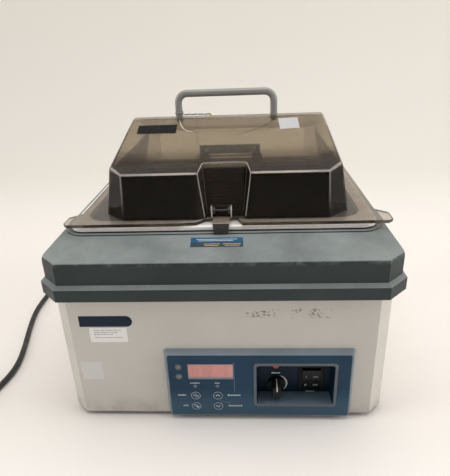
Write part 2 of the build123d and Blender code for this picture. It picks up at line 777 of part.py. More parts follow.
# Handle: one bent rod that stands on the ridge, with its ends turned down to studs
handle_top = ridge_top + handle_rise - rod / 2
bush_top = ridge_top - cover_wall - 0.25
nut_top = bush_top - bush_foot
handle_left = handle_x - handle_spacing / 2
handle_right = handle_x + handle_spacing / 2
with BuildPart() as lid_handle:
    with BuildLine() as handle_path:
        FilletPolyline((handle_left, tank_y, ridge_top), (handle_left, tank_y, handle_top),
                       (handle_right, tank_y, handle_top), (handle_right, tank_y, ridge_top),
                       radius=handle_bend)
    with BuildSketch(Plane(origin=handle_path.line @ 0, z_dir=handle_path.line % 0)):
        Circle(rod / 2)
    sweep()
    with BuildSketch(level(ridge_top)):
        with Locations(*handle_holes):
            Circle(stud_radius)
    extrude(amount=nut_top - nut_height - 1 - ridge_top)
save(lid_handle, "lid_handle")

# Rubber bushes in the roof's holes, each with a foot under the roof
with BuildPart() as handle_collars:
    with BuildSketch(level(nut_top)):
        with Locations(*handle_holes):
            Circle(bush_foot_radius)
    extrude(amount=bush_foot)
    with BuildSketch(level(nut_top)):
        with Locations(*handle_holes):
            Circle(bush_radius)
    extrude(amount=ridge_top - nut_top)
    with BuildSketch(level(nut_top)):
        with Locations(*handle_holes):
            Circle(stud_radius + 0.1)
    extrude(amount=ridge_top - nut_top, mode=Mode.SUBTRACT)
save(handle_collars, "handle_collars")

with BuildPart() as handle_nuts:
    with BuildSketch(level(nut_top)):
        with Locations(*handle_holes):
            RegularPolygon(nut_across / 2, 6, major_radius=False)
            Circle(stud_radius + 0.1, mode=Mode.SUBTRACT)
    extrude(amount=-nut_height)
save(handle_nuts, "handle_nuts")

# Hinge: a bracket on the deck, a pin and a leaf rolled round it and screwed to the cover
knuckle_radius = knuckle / 2
lug_half = leaf_length / 2 + seat_gap
with BuildPart() as hinge_bracket:
    block((hinge_x - lug_half - lug_sheet, bracket_front, seat_z),
          (hinge_x + lug_half + lug_sheet, bracket_front + bracket_depth, seat_z + lug_sheet))
    for side in (-1, 1):
        face = hinge_x + side * lug_half
        near = min(face, face + side * lug_sheet)
        with BuildSketch(across(near, hinge_y, seat_z)):
            with BuildLine():
                Polyline((-4, 0), (10, 0), (5, hinge_z - seat_z), (-4, hinge_z - seat_z), close=True)
            make_face()
            with Locations((0.5, hinge_z - seat_z)):
                Circle(4.5)
        extrude(amount=lug_sheet)
    with BuildSketch(across(hinge_x - lug_half - lug_sheet - 1, hinge_y, hinge_z)):
        Circle(hinge_pin / 2 + 0.02)
    extrude(amount=2 * (lug_half + lug_sheet + 1), mode=Mode.SUBTRACT)
    with BuildSketch(level(seat_z, hinge_x, bracket_front + bracket_depth - 6)):
        with GridLocations(leaf_screw_spacing, 1, 2, 1):
            Circle(screw_radius + 0.1)
    extrude(amount=lug_sheet, mode=Mode.SUBTRACT)
save(hinge_bracket, "hinge_bracket")

with BuildPart() as bracket_screws:
    with BuildSketch(level(seat_z + lug_sheet, hinge_x, bracket_front + bracket_depth - 6)):
        with GridLocations(leaf_screw_spacing, 1, 2, 1):
            Circle(screw_head)
    extrude(amount=screw_head_height)
    fillet(bracket_screws.faces().sort_by(Axis.Z)[-2:].edges(), 0.7)
    with BuildSketch(level(seat_z + lug_sheet, hinge_x, bracket_front + bracket_depth - 6)):
        with GridLocations(leaf_screw_spacing, 1, 2, 1):
            Circle(screw_radius)
    extrude(amount=-lug_sheet - 6)
save(bracket_screws, "bracket_screws")

with BuildPart() as hinge_pin_rod:
    with BuildSketch(across(hinge_x - lug_half - lug_sheet - 1.5, hinge_y, hinge_z)):
        Circle(hinge_pin / 2)
    extrude(amount=2 * (lug_half + lug_sheet + 1.5))
    for side in (-1, 1):
        start = hinge_x + side * (lug_half + lug_sheet + 0.2)
        with BuildSketch(across(start, hinge_y, hinge_z)):
            Circle(hinge_pin / 2 + 1)
        extrude(amount=side * 1.3)
save(hinge_pin_rod, "hinge_pin")

leaf_face = rear_panel + leaf_sheet
leaf_foot = flange_top + leaf_low
with BuildPart() as hinge_leaf:
    block((hinge_x - leaf_length / 2, rear_panel, leaf_foot),
          (hinge_x + leaf_length / 2, leaf_face, flange_top + leaf_high))
    for start in (hinge_x - leaf_length / 2, hinge_x + leaf_length / 2 - leaf_arm):
        with BuildSketch(across(start)):
            with BuildLine():
                Polyline((rear_panel, leaf_foot), (rear_panel, leaf_foot + leaf_sheet),
                         (hinge_y + 1, hinge_z + knuckle_radius),
                         (hinge_y, hinge_z + knuckle_radius - leaf_sheet), close=True)
            make_face()
            with Locations((hinge_y, hinge_z)):
                Circle(knuckle_radius)
                Circle(hinge_pin / 2 + running_gap, mode=Mode.SUBTRACT)
        extrude(amount=leaf_arm)
    with BuildSketch(facing(leaf_face + 1, hinge_x, leaf_screw_z)):
        with GridLocations(leaf_screw_spacing, 1, 2, 1):
            Circle(screw_radius + 0.1)
    extrude(amount=leaf_sheet + 2, mode=Mode.SUBTRACT)
save(hinge_leaf, "hinge_leaf")

with BuildPart() as leaf_screws:
    with BuildSketch(facing(leaf_face + screw_head_height, hinge_x, leaf_screw_z)):
        with GridLocations(leaf_screw_spacing, 1, 2, 1):
            Circle(screw_head)
    extrude(amount=screw_head_height)
    with BuildSketch(facing(leaf_face, hinge_x, leaf_screw_z)):
        with GridLocations(leaf_screw_spacing, 1, 2, 1):
            Circle(screw_radius)
    extrude(amount=leaf_sheet + cover_wall + 5)
save(leaf_screws, "leaf_screws")

with BuildPart() as leaf_nuts:
    with BuildSketch(facing(rear_panel - cover_wall, hinge_x, leaf_screw_z)):
        with GridLocations(leaf_screw_spacing, 1, 2, 1):
            RegularPolygon(3.5, 6, major_radius=False)
            Circle(screw_radius + 0.1, mode=Mode.SUBTRACT)
    extrude(amount=3)
save(leaf_nuts, "leaf_nuts")

# Catch: a bracket in the front recess, a pin, and a folded clip that hangs over the rim
catch_low = flange_top + catch_gap
catch_axis_z = catch_low + catch_sheet + catch_pin_height
recess_lean = (recess_top_depth - recess_foot_depth) / eave_height
recess_panel = tank_y - cover_width / 2 + recess_foot_depth
catch_axis_y = recess_panel - 4.5
catch_front = rim_front - bead_gap - bead_width - catch_clear - catch_sheet
bracket_half = catch_width / 2 - catch_sheet - 0.4
bracket_lug = 2.5
bracket_rise = catch_axis_z + 3.5
with BuildPart() as catch_bracket:
    with BuildSketch(across(catch_x - bracket_half)):
        with BuildLine():
            Polyline((catch_axis_y - 3.2, catch_axis_z - 3), (catch_axis_y - 3.2, catch_axis_z + 2),
                     (catch_axis_y, bracket_rise),
                     (recess_panel + recess_lean * (bracket_rise - flange_top), bracket_rise),
                     (recess_panel + recess_lean * (catch_axis_z - 3 - flange_top), catch_axis_z - 3),
                     close=True)
        make_face()
        with Locations((catch_axis_y, catch_axis_z)):
            Circle(catch_pin / 2 + 0.02, mode=Mode.SUBTRACT)
    extrude(amount=2 * bracket_half)
    block((catch_x - bracket_half + bracket_lug, catch_axis_y - 5, catch_axis_z - 5),
          (catch_x + bracket_half - bracket_lug, recess_panel - 0.5, bracket_rise + 1), mode=Mode.SUBTRACT)
save(catch_bracket, "catch_bracket")

with BuildPart() as catch_pin_rod:
    with BuildSketch(across(catch_x - catch_width / 2 - 0.8, catch_axis_y, catch_axis_z)):
        Circle(catch_pin / 2)
    extrude(amount=catch_width + 1.6)
save(catch_pin_rod, "catch_pin")

catch_left = catch_x - catch_width / 2
catch_right = catch_x + catch_width / 2
catch_top = catch_low + catch_sheet
ear_back = catch_axis_y + 2.6
ear_front = catch_axis_y - 5
ear_top = catch_low + catch_ear
plate_half = catch_plate / 2
with BuildPart() as front_catch:
    block((catch_x - plate_half, catch_front, catch_low), (catch_x + plate_half, catch_axis_y - 2, catch_top))
    block((catch_left, ear_front, catch_low), (catch_right, catch_axis_y - 2, catch_top))
    with BuildSketch(facing(catch_front + catch_sheet, catch_x, catch_top)):
        with BuildLine():
            Polyline((-plate_half, 0), (-plate_half + catch_sheet, -catch_drop),
                     (plate_half - catch_sheet, -catch_drop), (plate_half, 0), close=True)
        make_face()
    extrude(amount=catch_sheet)
    for start in (catch_left, catch_right - catch_sheet):
        with BuildSketch(across(start)):
            with BuildLine():
                Polyline((ear_front, catch_low), (ear_back, catch_low), (ear_back, catch_axis_z),
                         (catch_axis_y + 1.2, ear_top), (catch_axis_y - 3, ear_top),
                         (catch_axis_y - 3, catch_top), (ear_front, catch_top), close=True)
            make_face()
            with Locations((catch_axis_y, catch_axis_z)):
                Circle(catch_pin / 2 + running_gap, mode=Mode.SUBTRACT)
        extrude(amount=catch_sheet)
save(front_catch, "front_catch")

# Control panel housing: a bevelled moulding on the case, open behind
pocket_depth = key_height + key_travel + 0.6 - key_proud - film
with BuildPart() as control_panel:
    base = round_rectangle(facing(case_front, panel_centre, panel_z), panel_width, panel_height, 3)
    face_z = panel_z + (panel_bevel_foot - panel_bevel_top) / 2
    face_width = panel_width - 2 * panel_bevel_side
    face_height = panel_height - panel_bevel_foot - panel_bevel_top
    face = round_rectangle(facing(panel_face, panel_centre, face_z), face_width, face_height, 2.5)
    loft([base, face], ruled=True)
    with BuildSketch(facing(case_front, panel_centre, panel_z)):
        Rectangle(opening_width, opening_height)
    extrude(amount=panel_reach - panel_wall, mode=Mode.SUBTRACT)
    with BuildSketch(facing(panel_face)):
        with Locations((window_x, window_z)):
            Rectangle(window_width - 2, window_height - 2)
        with Locations((lamp_x, lamp_high), (lamp_x, lamp_low)):
            Circle(lamp_radius + 0.1)
        with Locations(*[(column, set_lamp_z) for column in key_columns]):
            Circle(set_lamp_radius + 0.1)
        with Locations(*[(column, row) for column in key_columns for row in key_rows]):
            Circle(key_stem + hole_gap)
        with Locations((well_x, well_z)):
            Rectangle(well_width - 2 * well_border + 2 * well_wall + 0.2,
                      well_height - 2 * well_border + 2 * well_wall + 0.2)
    extrude(amount=-panel_reach, mode=Mode.SUBTRACT)
    with BuildSketch(facing(panel_face)):
        with Locations(*[(column, row) for column in key_columns for row in key_rows]):
            Circle(key_radius + 0.3)
    extrude(amount=-pocket_depth, mode=Mode.SUBTRACT)
    with BuildSketch(facing(case_front, panel_centre, panel_z)):
        with GridLocations(panel_width - 2 * screw_inset, panel_height - 2 * screw_rise, 2, 2):
            Circle(screw_radius)
    extrude(amount=panel_reach - 1.5, mode=Mode.SUBTRACT)
save(control_panel, "control_panel")

with BuildPart() as panel_screws:
    with BuildSketch(facing(case_front + sheet, panel_centre, panel_z)):
        with GridLocations(panel_width - 2 * screw_inset, panel_height - 2 * screw_rise, 2, 2):
            Circle(screw_radius)
    extrude(amount=sheet + panel_reach - 2)
    with BuildSketch(facing(case_front + sheet + screw_head_height, panel_centre, panel_z)):
        with GridLocations(panel_width - 2 * screw_inset, panel_height - 2 * screw_rise, 2, 2):
            Circle(screw_head)
    extrude(amount=screw_head_height)
save(panel_screws, "panel_screws")

# Printed film on the panel's face
with BuildPart() as panel_film:
    with BuildSketch(facing(panel_face)):
        with Locations((panel_centre, face_z)):
            RectangleRounded(face_width - 2 * film_margin, face_height - 2 * film_margin, 2)
        with Locations((window_x, window_z)):
            Rectangle(window_width, window_height, mode=Mode.SUBTRACT)
        with Locations((lamp_x, lamp_high), (lamp_x, lamp_low)):
            Circle(lamp_radius + 0.1, mode=Mode.SUBTRACT)
        with Locations(*[(column, set_lamp_z) for column in key_columns]):
            Circle(set_lamp_radius + 0.1, mode=Mode.SUBTRACT)
        with Locations(*[(column, row) for column in key_columns for row in key_rows]):
            Circle(key_radius + 0.3, mode=Mode.SUBTRACT)
        with Locations((well_x, well_z)):
            RectangleRounded(well_width + 0.2, well_height + 0.2, 4, mode=Mode.SUBTRACT)
    extrude(amount=film)
save(panel_film, "panel_film")

# Display window and the digit module behind it
with BuildPart() as display_window:
    with BuildSketch(facing(panel_face)):
        with Locations((window_x, window_z)):
            Rectangle(window_width - 0.2, window_height - 0.2)
    extrude(amount=film - 0.1)
    with BuildSketch(facing(panel_face)):
        with Locations((window_x, window_z)):
            Rectangle(window_width - 2.4, window_height - 2.4)
    extrude(amount=-1.5)
save(display_window, "display_window")

board_front = panel_face + board_back
with BuildPart() as display_module:
    block((window_x - window_width / 2 + 3, panel_face + 2, window_z - window_height / 2 + 2),
          (window_x + window_width / 2 - 3, board_front, window_z + window_height / 2 - 2))
save(display_module, "display_module")

with BuildPart() as status_lamps:
    with BuildSketch(facing(board_front)):
        with Locations((lamp_x, lamp_high), (lamp_x, lamp_low)):
            Circle(lamp_radius)
    extrude(amount=board_back + film + 0.6)
    fillet(status_lamps.faces().sort_by(Axis.Y)[:2].edges(), 0.8)
save(status_lamps, "status_lamps")

with BuildPart() as set_lamps:
    with BuildSketch(facing(board_front)):
        with Locations(*[(column, set_lamp_z) for column in key_columns]):
            Circle(set_lamp_radius)
    extrude(amount=board_back + film)
save(set_lamps, "set_lamps")

# Keys: each a disc in the film with a stem that presses a switch on the board
key_names = {(0, 0): "mode_key", (1, 0): "up_key", (0, 1): "enter_key", (1, 1): "down_key"}
switch_front = board_front - 3.5
for (column, row), name in key_names.items():
    key_x = key_columns[column]
    key_z = key_rows[row]
    with BuildPart() as key:
        with BuildSketch(facing(film_face - key_proud, key_x, key_z)):
            Circle(key_radius)
        extrude(amount=-key_height)
        fillet(key.faces().sort_by(Axis.Y)[0].edges(), key_proud * 0.8)
        with BuildSketch(facing(film_face - key_proud + key_height, key_x, key_z)):
            Circle(key_stem)
        extrude(amount=-(switch_front - key_travel - 0.3 - film_face + key_proud - key_height))
    save(key, name)

with BuildPart() as key_switches:
    for key_x in key_columns:
        for key_z in key_rows:
            block((key_x - 3, switch_front + 1, key_z - 3), (key_x + 3, board_front, key_z + 3))
            with BuildSketch(facing(switch_front + 1, key_x, key_z)):
                Circle(key_stem)
            extrude(amount=1)
save(key_switches, "key_switches")

# Control board on four pillars from the panel
board_left = panel_left + board_margin
board_width = well_x - well_width / 2 - board_gap - board_left
board_x = board_left + board_width / 2
board_z = panel_z - 1
with BuildPart() as control_board:
    with BuildSketch(facing(board_front + board_sheet, board_x, board_z)):
        Rectangle(board_width, board_height)
    extrude(amount=board_sheet)
    board_rear = board_front + board_sheet
    connector_x = board_x - 7.5
    connector_z = board_z - 2
    block((connector_x - connector_width / 2, board_rear, connector_z - connector_height / 2),
          (connector_x + connector_width / 2, board_rear + connector_depth,
           connector_z + connector_height / 2))
    with BuildSketch(facing(board_rear + capacitor_length, board_x + 20, board_z + 12)):
        with GridLocations(capacitor_spacing, 1, 2, 1):
            Circle(capacitor_radius)
    extrude(amount=capacitor_length)
save(control_board, "control_board")

pillar_x = board_width / 2 - 3
pillar_z = board_height / 2 - 10
with BuildPart() as board_pillars:
    with BuildSketch(facing(board_front, board_x, board_z)):
        with GridLocations(2 * pillar_x, 2 * pillar_z, 2, 2):
            RegularPolygon(2.3, 6)
    extrude(amount=board_back - panel_wall)
save(board_pillars, "board_pillars")

# Well: a moulded tub set into the panel, for the cut-out knob, its lamp and the switch
well_inner_width = well_width - 2 * well_border
well_inner_height = well_height - 2 * well_border
well_face = film_face - well_proud
with BuildPart() as control_well:
    extrude(round_rectangle(facing(panel_face, well_x, well_z), well_width, well_height, 4),
            amount=film + well_proud)
    fillet(control_well.faces().sort_by(Axis.Y)[0].edges(), 0.8)
    loft([round_rectangle(facing(panel_face, well_x, well_z), well_inner_width + 2 * well_wall,
                          well_inner_height + 2 * well_wall, 4),
          round_rectangle(facing(well_back + well_wall, well_x, well_z),
                          well_inner_width + 2 * well_wall - 2 * well_draft,
                          well_inner_height + 2 * well_wall - 2 * well_draft, 4)], ruled=True)
    loft([round_rectangle(facing(well_face, well_x, well_z), well_inner_width, well_inner_height, 3),
          round_rectangle(facing(well_back, well_x, well_z), well_inner_width - 2 * well_draft,
                          well_inner_height - 2 * well_draft, 3)], ruled=True, mode=Mode.SUBTRACT)
    with BuildSketch(facing(well_back + well_wall + 1)):
        with Locations((knob_x, knob_z)):
            Circle(shaft_radius + 1)
        with Locations((well_lamp_x, well_lamp_z)):
            Circle(well_lamp_radius + 0.1)
        with Locations((switch_x, switch_z)):
            Rectangle(switch_width - 3, switch_height - 1.8)
    extrude(amount=well_wall + 3, mode=Mode.SUBTRACT)
save(control_well, "control_well")

with BuildPart() as cutout_lamp:
    with BuildSketch(facing(well_back + 14, well_lamp_x, well_lamp_z)):
        Circle(well_lamp_radius)
    extrude(amount=16)
    fillet(cutout_lamp.faces().sort_by(Axis.Y)[0].edges(), 1.2)
save(cutout_lamp, "cutout_lamp")

# Cut-out thermostat, and the knob with its shaft
thermostat_front = well_back + well_wall
shaft_back = thermostat_front + 8
with BuildPart() as cutout_thermostat:
    with BuildSketch(facing(thermostat_front + thermostat_length, knob_x, knob_z)):
        Circle(thermostat_radius)
    extrude(amount=thermostat_length)
    with BuildSketch(facing(shaft_back, knob_x, knob_z)):
        Circle(shaft_radius + running_gap)
    extrude(amount=shaft_back - thermostat_front, mode=Mode.SUBTRACT)
save(cutout_thermostat, "cutout_thermostat")

knob_base = well_back - 0.6
with BuildPart() as cutout_knob:
    with BuildSketch(facing(knob_base, knob_x, knob_z)):
        Circle(knob_radius)
    extrude(amount=knob_skirt, taper=8)
    with BuildSketch(facing(knob_base - knob_skirt / 2, knob_x, knob_z)):
        SlotOverall(2 * knob_radius - 1, grip_width, rotation=90)
    extrude(amount=knob_height - knob_skirt / 2, taper=3)
    fillet(cutout_knob.faces().sort_by(Axis.Y)[0].edges(), 0.7)
    with BuildSketch(facing(knob_base, knob_x, knob_z)):
        Circle(shaft_radius)
    extrude(amount=5, mode=Mode.SUBTRACT)
save(cutout_knob, "cutout_knob")

with BuildPart() as thermostat_shaft:
    with BuildSketch(facing(shaft_back - 0.3, knob_x, knob_z)):
        Circle(shaft_radius)
    extrude(amount=shaft_back - 0.3 - knob_base + 5)
save(thermostat_shaft, "thermostat_shaft")

# Power switch: a framed housing and its rocker
rocker_axis_y = well_back + 5.0
rocker_radius = 9.5
with BuildPart() as switch_housing:
    with BuildSketch(facing(well_back, switch_x, switch_z)):
        RectangleRounded(switch_width, switch_height, 1.2)
    extrude(amount=2.2)
    fillet(switch_housing.faces().sort_by(Axis.Y)[0].edges(), 0.7)
    with BuildSketch(facing(well_back, switch_x, switch_z)):
        Rectangle(switch_width - 3.4, switch_height - 2.2)
    extrude(amount=-24)
    with BuildSketch(facing(well_back - 2.2, switch_x, switch_z)):
        Rectangle(rocker_width + 0.8, rocker_height + 0.8)
    extrude(amount=-16, mode=Mode.SUBTRACT)
    for terminal_z in (-8.0, 0.0, 8.0):
        block((switch_x - 3, well_back + 24, switch_z + terminal_z - 0.4),
              (switch_x + 3, well_back + 31, switch_z + terminal_z + 0.4))
save(switch_housing, "switch_housing")

# The rocker's face is two flats that meet over its axle; at rest its lower half is pressed in
rest_tilt = math.radians(rocker_tilt)
half = rocker_height / 2
reach = rocker_axis_y - (well_back - 3.0)
with BuildPart() as power_rocker:
    turned = Plane(origin=(switch_x - rocker_width / 2, rocker_axis_y, switch_z),
                   x_dir=(0, math.cos(rest_tilt), math.sin(rest_tilt)), z_dir=(1, 0, 0))
    drop = half * math.tan(rest_tilt)
    with BuildSketch(turned):
        with BuildLine():
            Polyline((-reach, 0), (-reach - 0.2 + drop * 0.3, half - 0.6), (-reach + 6, half - 0.6), (4, 4),
                     (4, -4), (-reach + 6, -half + 0.6), (-reach - 0.2 + drop * 0.3, -half + 0.6), close=True)
        make_face()
    extrude(amount=rocker_width)
    with BuildSketch(across(switch_x - rocker_width / 2, rocker_axis_y, switch_z)):
        Circle(1.5 + running_gap)
    extrude(amount=rocker_width, mode=Mode.SUBTRACT)
save(power_rocker, "power_rocker")

with BuildPart() as rocker_axle:
    with BuildSketch(across(switch_x - rocker_width / 2 - 0.4, rocker_axis_y, switch_z)):
        Circle(1.5)
    extrude(amount=rocker_width + 0.8)
save(rocker_axle, "rocker_axle")

# Power supply parts on the base plate
inside_floor = case_bottom + sheet
supply_front = case_front + sheet
transformer_left = -case_width / 2 + transformer_inset
with BuildPart() as transformer:
    block((transformer_left, supply_front + transformer_gap, inside_floor),
          (transformer_left + transformer_length, supply_front + transformer_gap + transformer_depth,
           inside_floor + transformer_height))
    core_middle = Vector(transformer_left + transformer_length / 2,
                         supply_front + transformer_gap + transformer_depth / 2,
                         inside_floor + transformer_height / 2)
    with Locations(core_middle):
        Box(winding_length, winding_depth, winding_height)
save(transformer, "transformer")

sink_left = well_x + well_width / 2 + relay_gap + fin_reach
sink_right = sink_left + sink_sheet
relay_right = sink_right + relay_body
sink_front = supply_front + sink_gap
relay_front = sink_front + (sink_depth - relay_width) / 2
with BuildPart() as heater_relay:
    block((sink_left, sink_front, inside_floor),
          (sink_right, sink_front + sink_depth, inside_floor + sink_height))
    block((sink_right, relay_front, inside_floor + relay_low),
          (relay_right, relay_front + relay_width, inside_floor + relay_low + relay_width))
    for fin in range(4):
        fin_front = sink_front + fin_sheet + fin_pitch * fin
        block((sink_left - fin_reach, fin_front, inside_floor + fin_low),
              (sink_left, fin_front + fin_sheet, inside_floor + sink_height))
save(heater_relay, "heater_relay")

terminal_back = case_back - sheet - terminal_gap
terminal_top = inside_floor + terminal_height
with BuildPart() as terminal_block:
    block((terminal_x - terminal_length / 2, terminal_back - terminal_depth, inside_floor),
          (terminal_x + terminal_length / 2, terminal_back, terminal_top))
    with BuildSketch(level(terminal_top, terminal_x, terminal_back - terminal_depth / 2)):
        with GridLocations(terminal_pitch, 1, 4, 1):
            Circle(2.2)
    extrude(amount=-6, mode=Mode.SUBTRACT)
save(terminal_block, "terminal_block")

# Strain relief in the case's back, tapering over the cord
with BuildPart() as cord_gland:
    with BuildSketch(facing(case_back, gland_x, gland_z)):
        Circle(9)
    extrude(amount=-3)
    with BuildSketch(facing(case_back, gland_x, gland_z)):
        Circle(cord / 2 + 2.3)
    extrude(amount=sheet + 4)
    with BuildSketch(facing(case_back + 3, gland_x, gland_z)):
        Circle(6)
    with BuildSketch(facing(case_back + gland_length, gland_x, gland_z)):
        Circle(cord / 2 + 0.9)
    loft()
save(cord_gland, "cord_gland")

# Cord: from the gland down to the bench, round the left side and forwards, then into a coil
cord_z = cord / 2 + floor_gap
cord_exit = case_back + gland_length
cord_route = [
    (gland_x, cord_exit, gland_z),
    (gland_x, cord_exit + 26, gland_z),
    (-117, 255, 17),
    (-142, 284, cord_z),
    (-190, 296, cord_z),
    (-238, 275, cord_z),
    (-270, 238, cord_z),
    (-291, 190, cord_z),
    (-303, 138, cord_z),
    (-306, 86, cord_z),
    (-305, 38, cord_z),
    (-294, -10, cord_z),
    (-281, -56, cord_z),
    (-273, -96, cord_z),
    (-279, -135, cord_z),
    (-290, -168, cord_z),
]


def fillet_radii(points, share=0.45):
    """The radius of each corner of a route: as large as its two runs allow."""
    radii = []
    for before, here, after in zip(points, points[1:], points[2:]):
        run_in = Vector(*here) - Vector(*before)
        run_out = Vector(*after) - Vector(*here)
        half_turn = math.radians(run_in.get_angle(run_out)) / 2
        radii.append(share * min(run_in.length, run_out.length) / math.tan(half_turn))
    return radii


cord_radii = fillet_radii(cord_route)
print("cord bend radii, mm:", [round(radius, 1) for radius in cord_radii])
with BuildPart() as power_cord:
    with BuildLine() as cord_line:
        FilletPolyline(*cord_route, radius=cord_radii)
    with BuildSketch(Plane(origin=cord_line.line @ 0, z_dir=cord_line.line % 0)):
        Circle(cord / 2)
    sweep()
cord_length = Wire(cord_line.edges()).length
print("cord tube length, mm:", round(cord_length, 1))
print("tube volume over section times length:",
      round(power_cord.part.volume / (math.pi * cord ** 2 / 4 * cord_length), 4))
save(power_cord, "power_cord")

# Coil: turns clockwise from above, inwards in the lower layer and outwards in the upper one
coil_start = Vector(*cord_route[-1])
coil_heading = (coil_start - Vector(*cord_route[-2])).normalized()
coil_side = Vector(coil_heading.Y, -coil_heading.X, 0)
coil_entry = coil_start + coil_heading * cord
coil_middle = coil_entry + coil_side * coil_radius
coil_angle = math.atan2(-coil_side.Y, -coil_side.X)
coil_reverse = coil_turns / 2


def coil_point(turn):
    """A point on the coil's middle line."""
    radius = coil_radius - coil_pitch * (coil_reverse - abs(turn - coil_reverse))
    climb = min(max((turn - coil_reverse) * 2 + 0.5, 0), 1)
    lift = coil_pitch * climb * climb * (3 - 2 * climb)
    angle = coil_angle - 2 * math.pi * turn
    return coil_middle + Vector(radius * math.cos(angle), radius * math.sin(angle), lift)


def coil_tangent(turn):
    """The coil's direction at a point."""
    step = 0.001
    ahead = coil_point(min(turn + step, coil_turns))
    return (ahead - coil_point(max(turn - step, 0))).normalized()


def biarc(start, start_way, end, end_way):
    """Two arcs that leave start along start_way and reach end along end_way."""
    chord = end - start
    ways = start_way + end_way
    spread = 2 * (1 - start_way.dot(end_way))
    lean = chord.dot(ways)
    reach = (-lean + math.sqrt(lean * lean + 2 * chord.dot(chord) * spread / 2)) / spread
    middle = (start + end + (start_way - end_way) * reach) * 0.5
    first = TangentArc(start, middle, tangent=start_way)
    TangentArc(middle, end, tangent=first % 1)


coil_stops = [0.0] + [0.25 + 0.5 * stop for stop in range(2 * coil_turns)] + [float(coil_turns)]
with BuildPart() as cord_coil:
    with BuildLine() as coil_line:
        Line(coil_start, coil_entry)
        coil_ways = [coil_tangent(stop) for stop in coil_stops]
        coil_ways[0] = coil_heading
        coil_ways[-1] = coil_heading
        for here, there, way, next_way in zip(coil_stops, coil_stops[1:], coil_ways, coil_ways[1:]):
            biarc(coil_point(here), way, coil_point(there), next_way)
        coil_end = coil_point(coil_turns)
        Line(coil_end, coil_end + coil_heading * plug_lead)
    with BuildSketch(Plane(origin=coil_line.line @ 0, z_dir=coil_line.line % 0)):
        Circle(cord / 2)
    sweep()
save(cord_coil, "cord_coil")


def least_gap(line, diameter, count=1200):
    """The least distance between turns of a tube on this line, surface to surface."""
    samples = [line @ (index / count) for index in range(count + 1)]
    spacing = line.length / count
    skip = int(6 * diameter / spacing)
    least = math.inf
    for index, point in enumerate(samples):
        for other in samples[index + skip:]:
            least = min(least, (point - other).length)
    return least - diameter


coil_wire = Wire(coil_line.edges())
coil_length = coil_wire.length
print("coil length, mm:", round(coil_length, 1))
print("coil least gap to itself, mm:", round(least_gap(coil_wire, cord), 2))
print("coil volume over section times length:",
      round(cord_coil.part.volume / (math.pi * cord ** 2 / 4 * coil_length), 4))
print("whole cord, m:", round((cord_length + coil_length) / 1000, 3))

# Plug: a moulded body with two blades and an earth pin, lying beside the coil
plug_start = coil_end + coil_heading * plug_lead
plug_plane = Plane(origin=plug_start, x_dir=(-coil_heading.Y, coil_heading.X, 0), z_dir=coil_heading)
plug_height = 2 * plug_start.Z
with BuildPart() as mains_plug:
    with BuildSketch(plug_plane):
        Circle(cord / 2 + 2)
    with BuildSketch(plug_plane.offset(plug_length * 0.45)):
        RectangleRounded(plug_width * 0.8, plug_height * 0.85, 5)
    loft()
    with BuildSketch(plug_plane.offset(plug_length * 0.45)):
        RectangleRounded(plug_width, plug_height, 5)
    extrude(amount=plug_length * 0.55)
    fillet(mains_plug.faces().filter_by(Axis(plug_start, coil_heading)).sort_by(
        Axis(plug_start, coil_heading))[-1].edges(), 1)
    with BuildSketch(plug_plane.offset(plug_length)):
        with Locations((-6.35, -2), (6.35, -2)):
            Rectangle(1.5, 6.3)
    extrude(amount=16)
    with BuildSketch(plug_plane.offset(plug_length)):
        with Locations((0, 5)):
            Circle(2.4)
    extrude(amount=18)
save(mains_plug, "mains_plug")
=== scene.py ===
import math
import random

import bmesh
import bpy
from mathutils import Matrix, Vector


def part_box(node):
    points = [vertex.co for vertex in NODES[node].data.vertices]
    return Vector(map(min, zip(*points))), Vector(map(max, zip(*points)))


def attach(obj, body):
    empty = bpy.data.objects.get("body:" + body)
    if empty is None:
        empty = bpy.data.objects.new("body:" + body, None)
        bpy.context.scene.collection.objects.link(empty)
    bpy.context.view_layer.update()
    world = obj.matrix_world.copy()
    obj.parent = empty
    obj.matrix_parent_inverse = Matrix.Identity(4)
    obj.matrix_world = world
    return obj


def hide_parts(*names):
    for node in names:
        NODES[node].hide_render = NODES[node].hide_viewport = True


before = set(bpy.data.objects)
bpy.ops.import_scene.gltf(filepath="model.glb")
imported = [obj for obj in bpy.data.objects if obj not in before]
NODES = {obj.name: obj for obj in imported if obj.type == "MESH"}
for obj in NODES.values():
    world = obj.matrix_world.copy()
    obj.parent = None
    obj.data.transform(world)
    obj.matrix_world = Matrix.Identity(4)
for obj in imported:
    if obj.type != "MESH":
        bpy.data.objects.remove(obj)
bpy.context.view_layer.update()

bl_info = {
    "name": "Laboratory Water Bath",
    "version": (1, 0, 0),
    "blender": (4, 5, 0),
    "location": "View3D > Sidebar > Water Bath",
    "description": "Finishes a laboratory water bath with its cord, prints, labels, wear and materials",
    "category": "Object",
}

MM = 0.001
SIDE_X = Vector((1, 0, 0))

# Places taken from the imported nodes, in metres
WELL_DEPTH = 0.018
COVER_RISE = 0.0863
WALL_RISE = 0.0486
FLANGE_OVERHANG = 0.001
FLANGE_WIDTH = 0.010
PANEL_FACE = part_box("panel_film")[0].y
WELL_BACK = PANEL_FACE + WELL_DEPTH
CASE_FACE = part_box("outer_case")[0].y
TANK_LOW, TANK_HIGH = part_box("tank")
TANK_Y = (TANK_LOW.y + TANK_HIGH.y) / 2
RIM_TOP = TANK_HIGH.z
COVER_LOW, COVER_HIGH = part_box("lid_cover")
RIDGE = COVER_HIGH.z
FLANGE_TOP = RIDGE - COVER_RISE
EAVE = FLANGE_TOP + WALL_RISE
COVER_FRONT = TANK_Y - ((TANK_HIGH.y - TANK_LOW.y) / 2 + FLANGE_OVERHANG - FLANGE_WIDTH)
HANDLE_X = (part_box("handle_nuts")[0].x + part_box("handle_nuts")[1].x) / 2
HANDLE_LEG = HANDLE_X - 0.05725
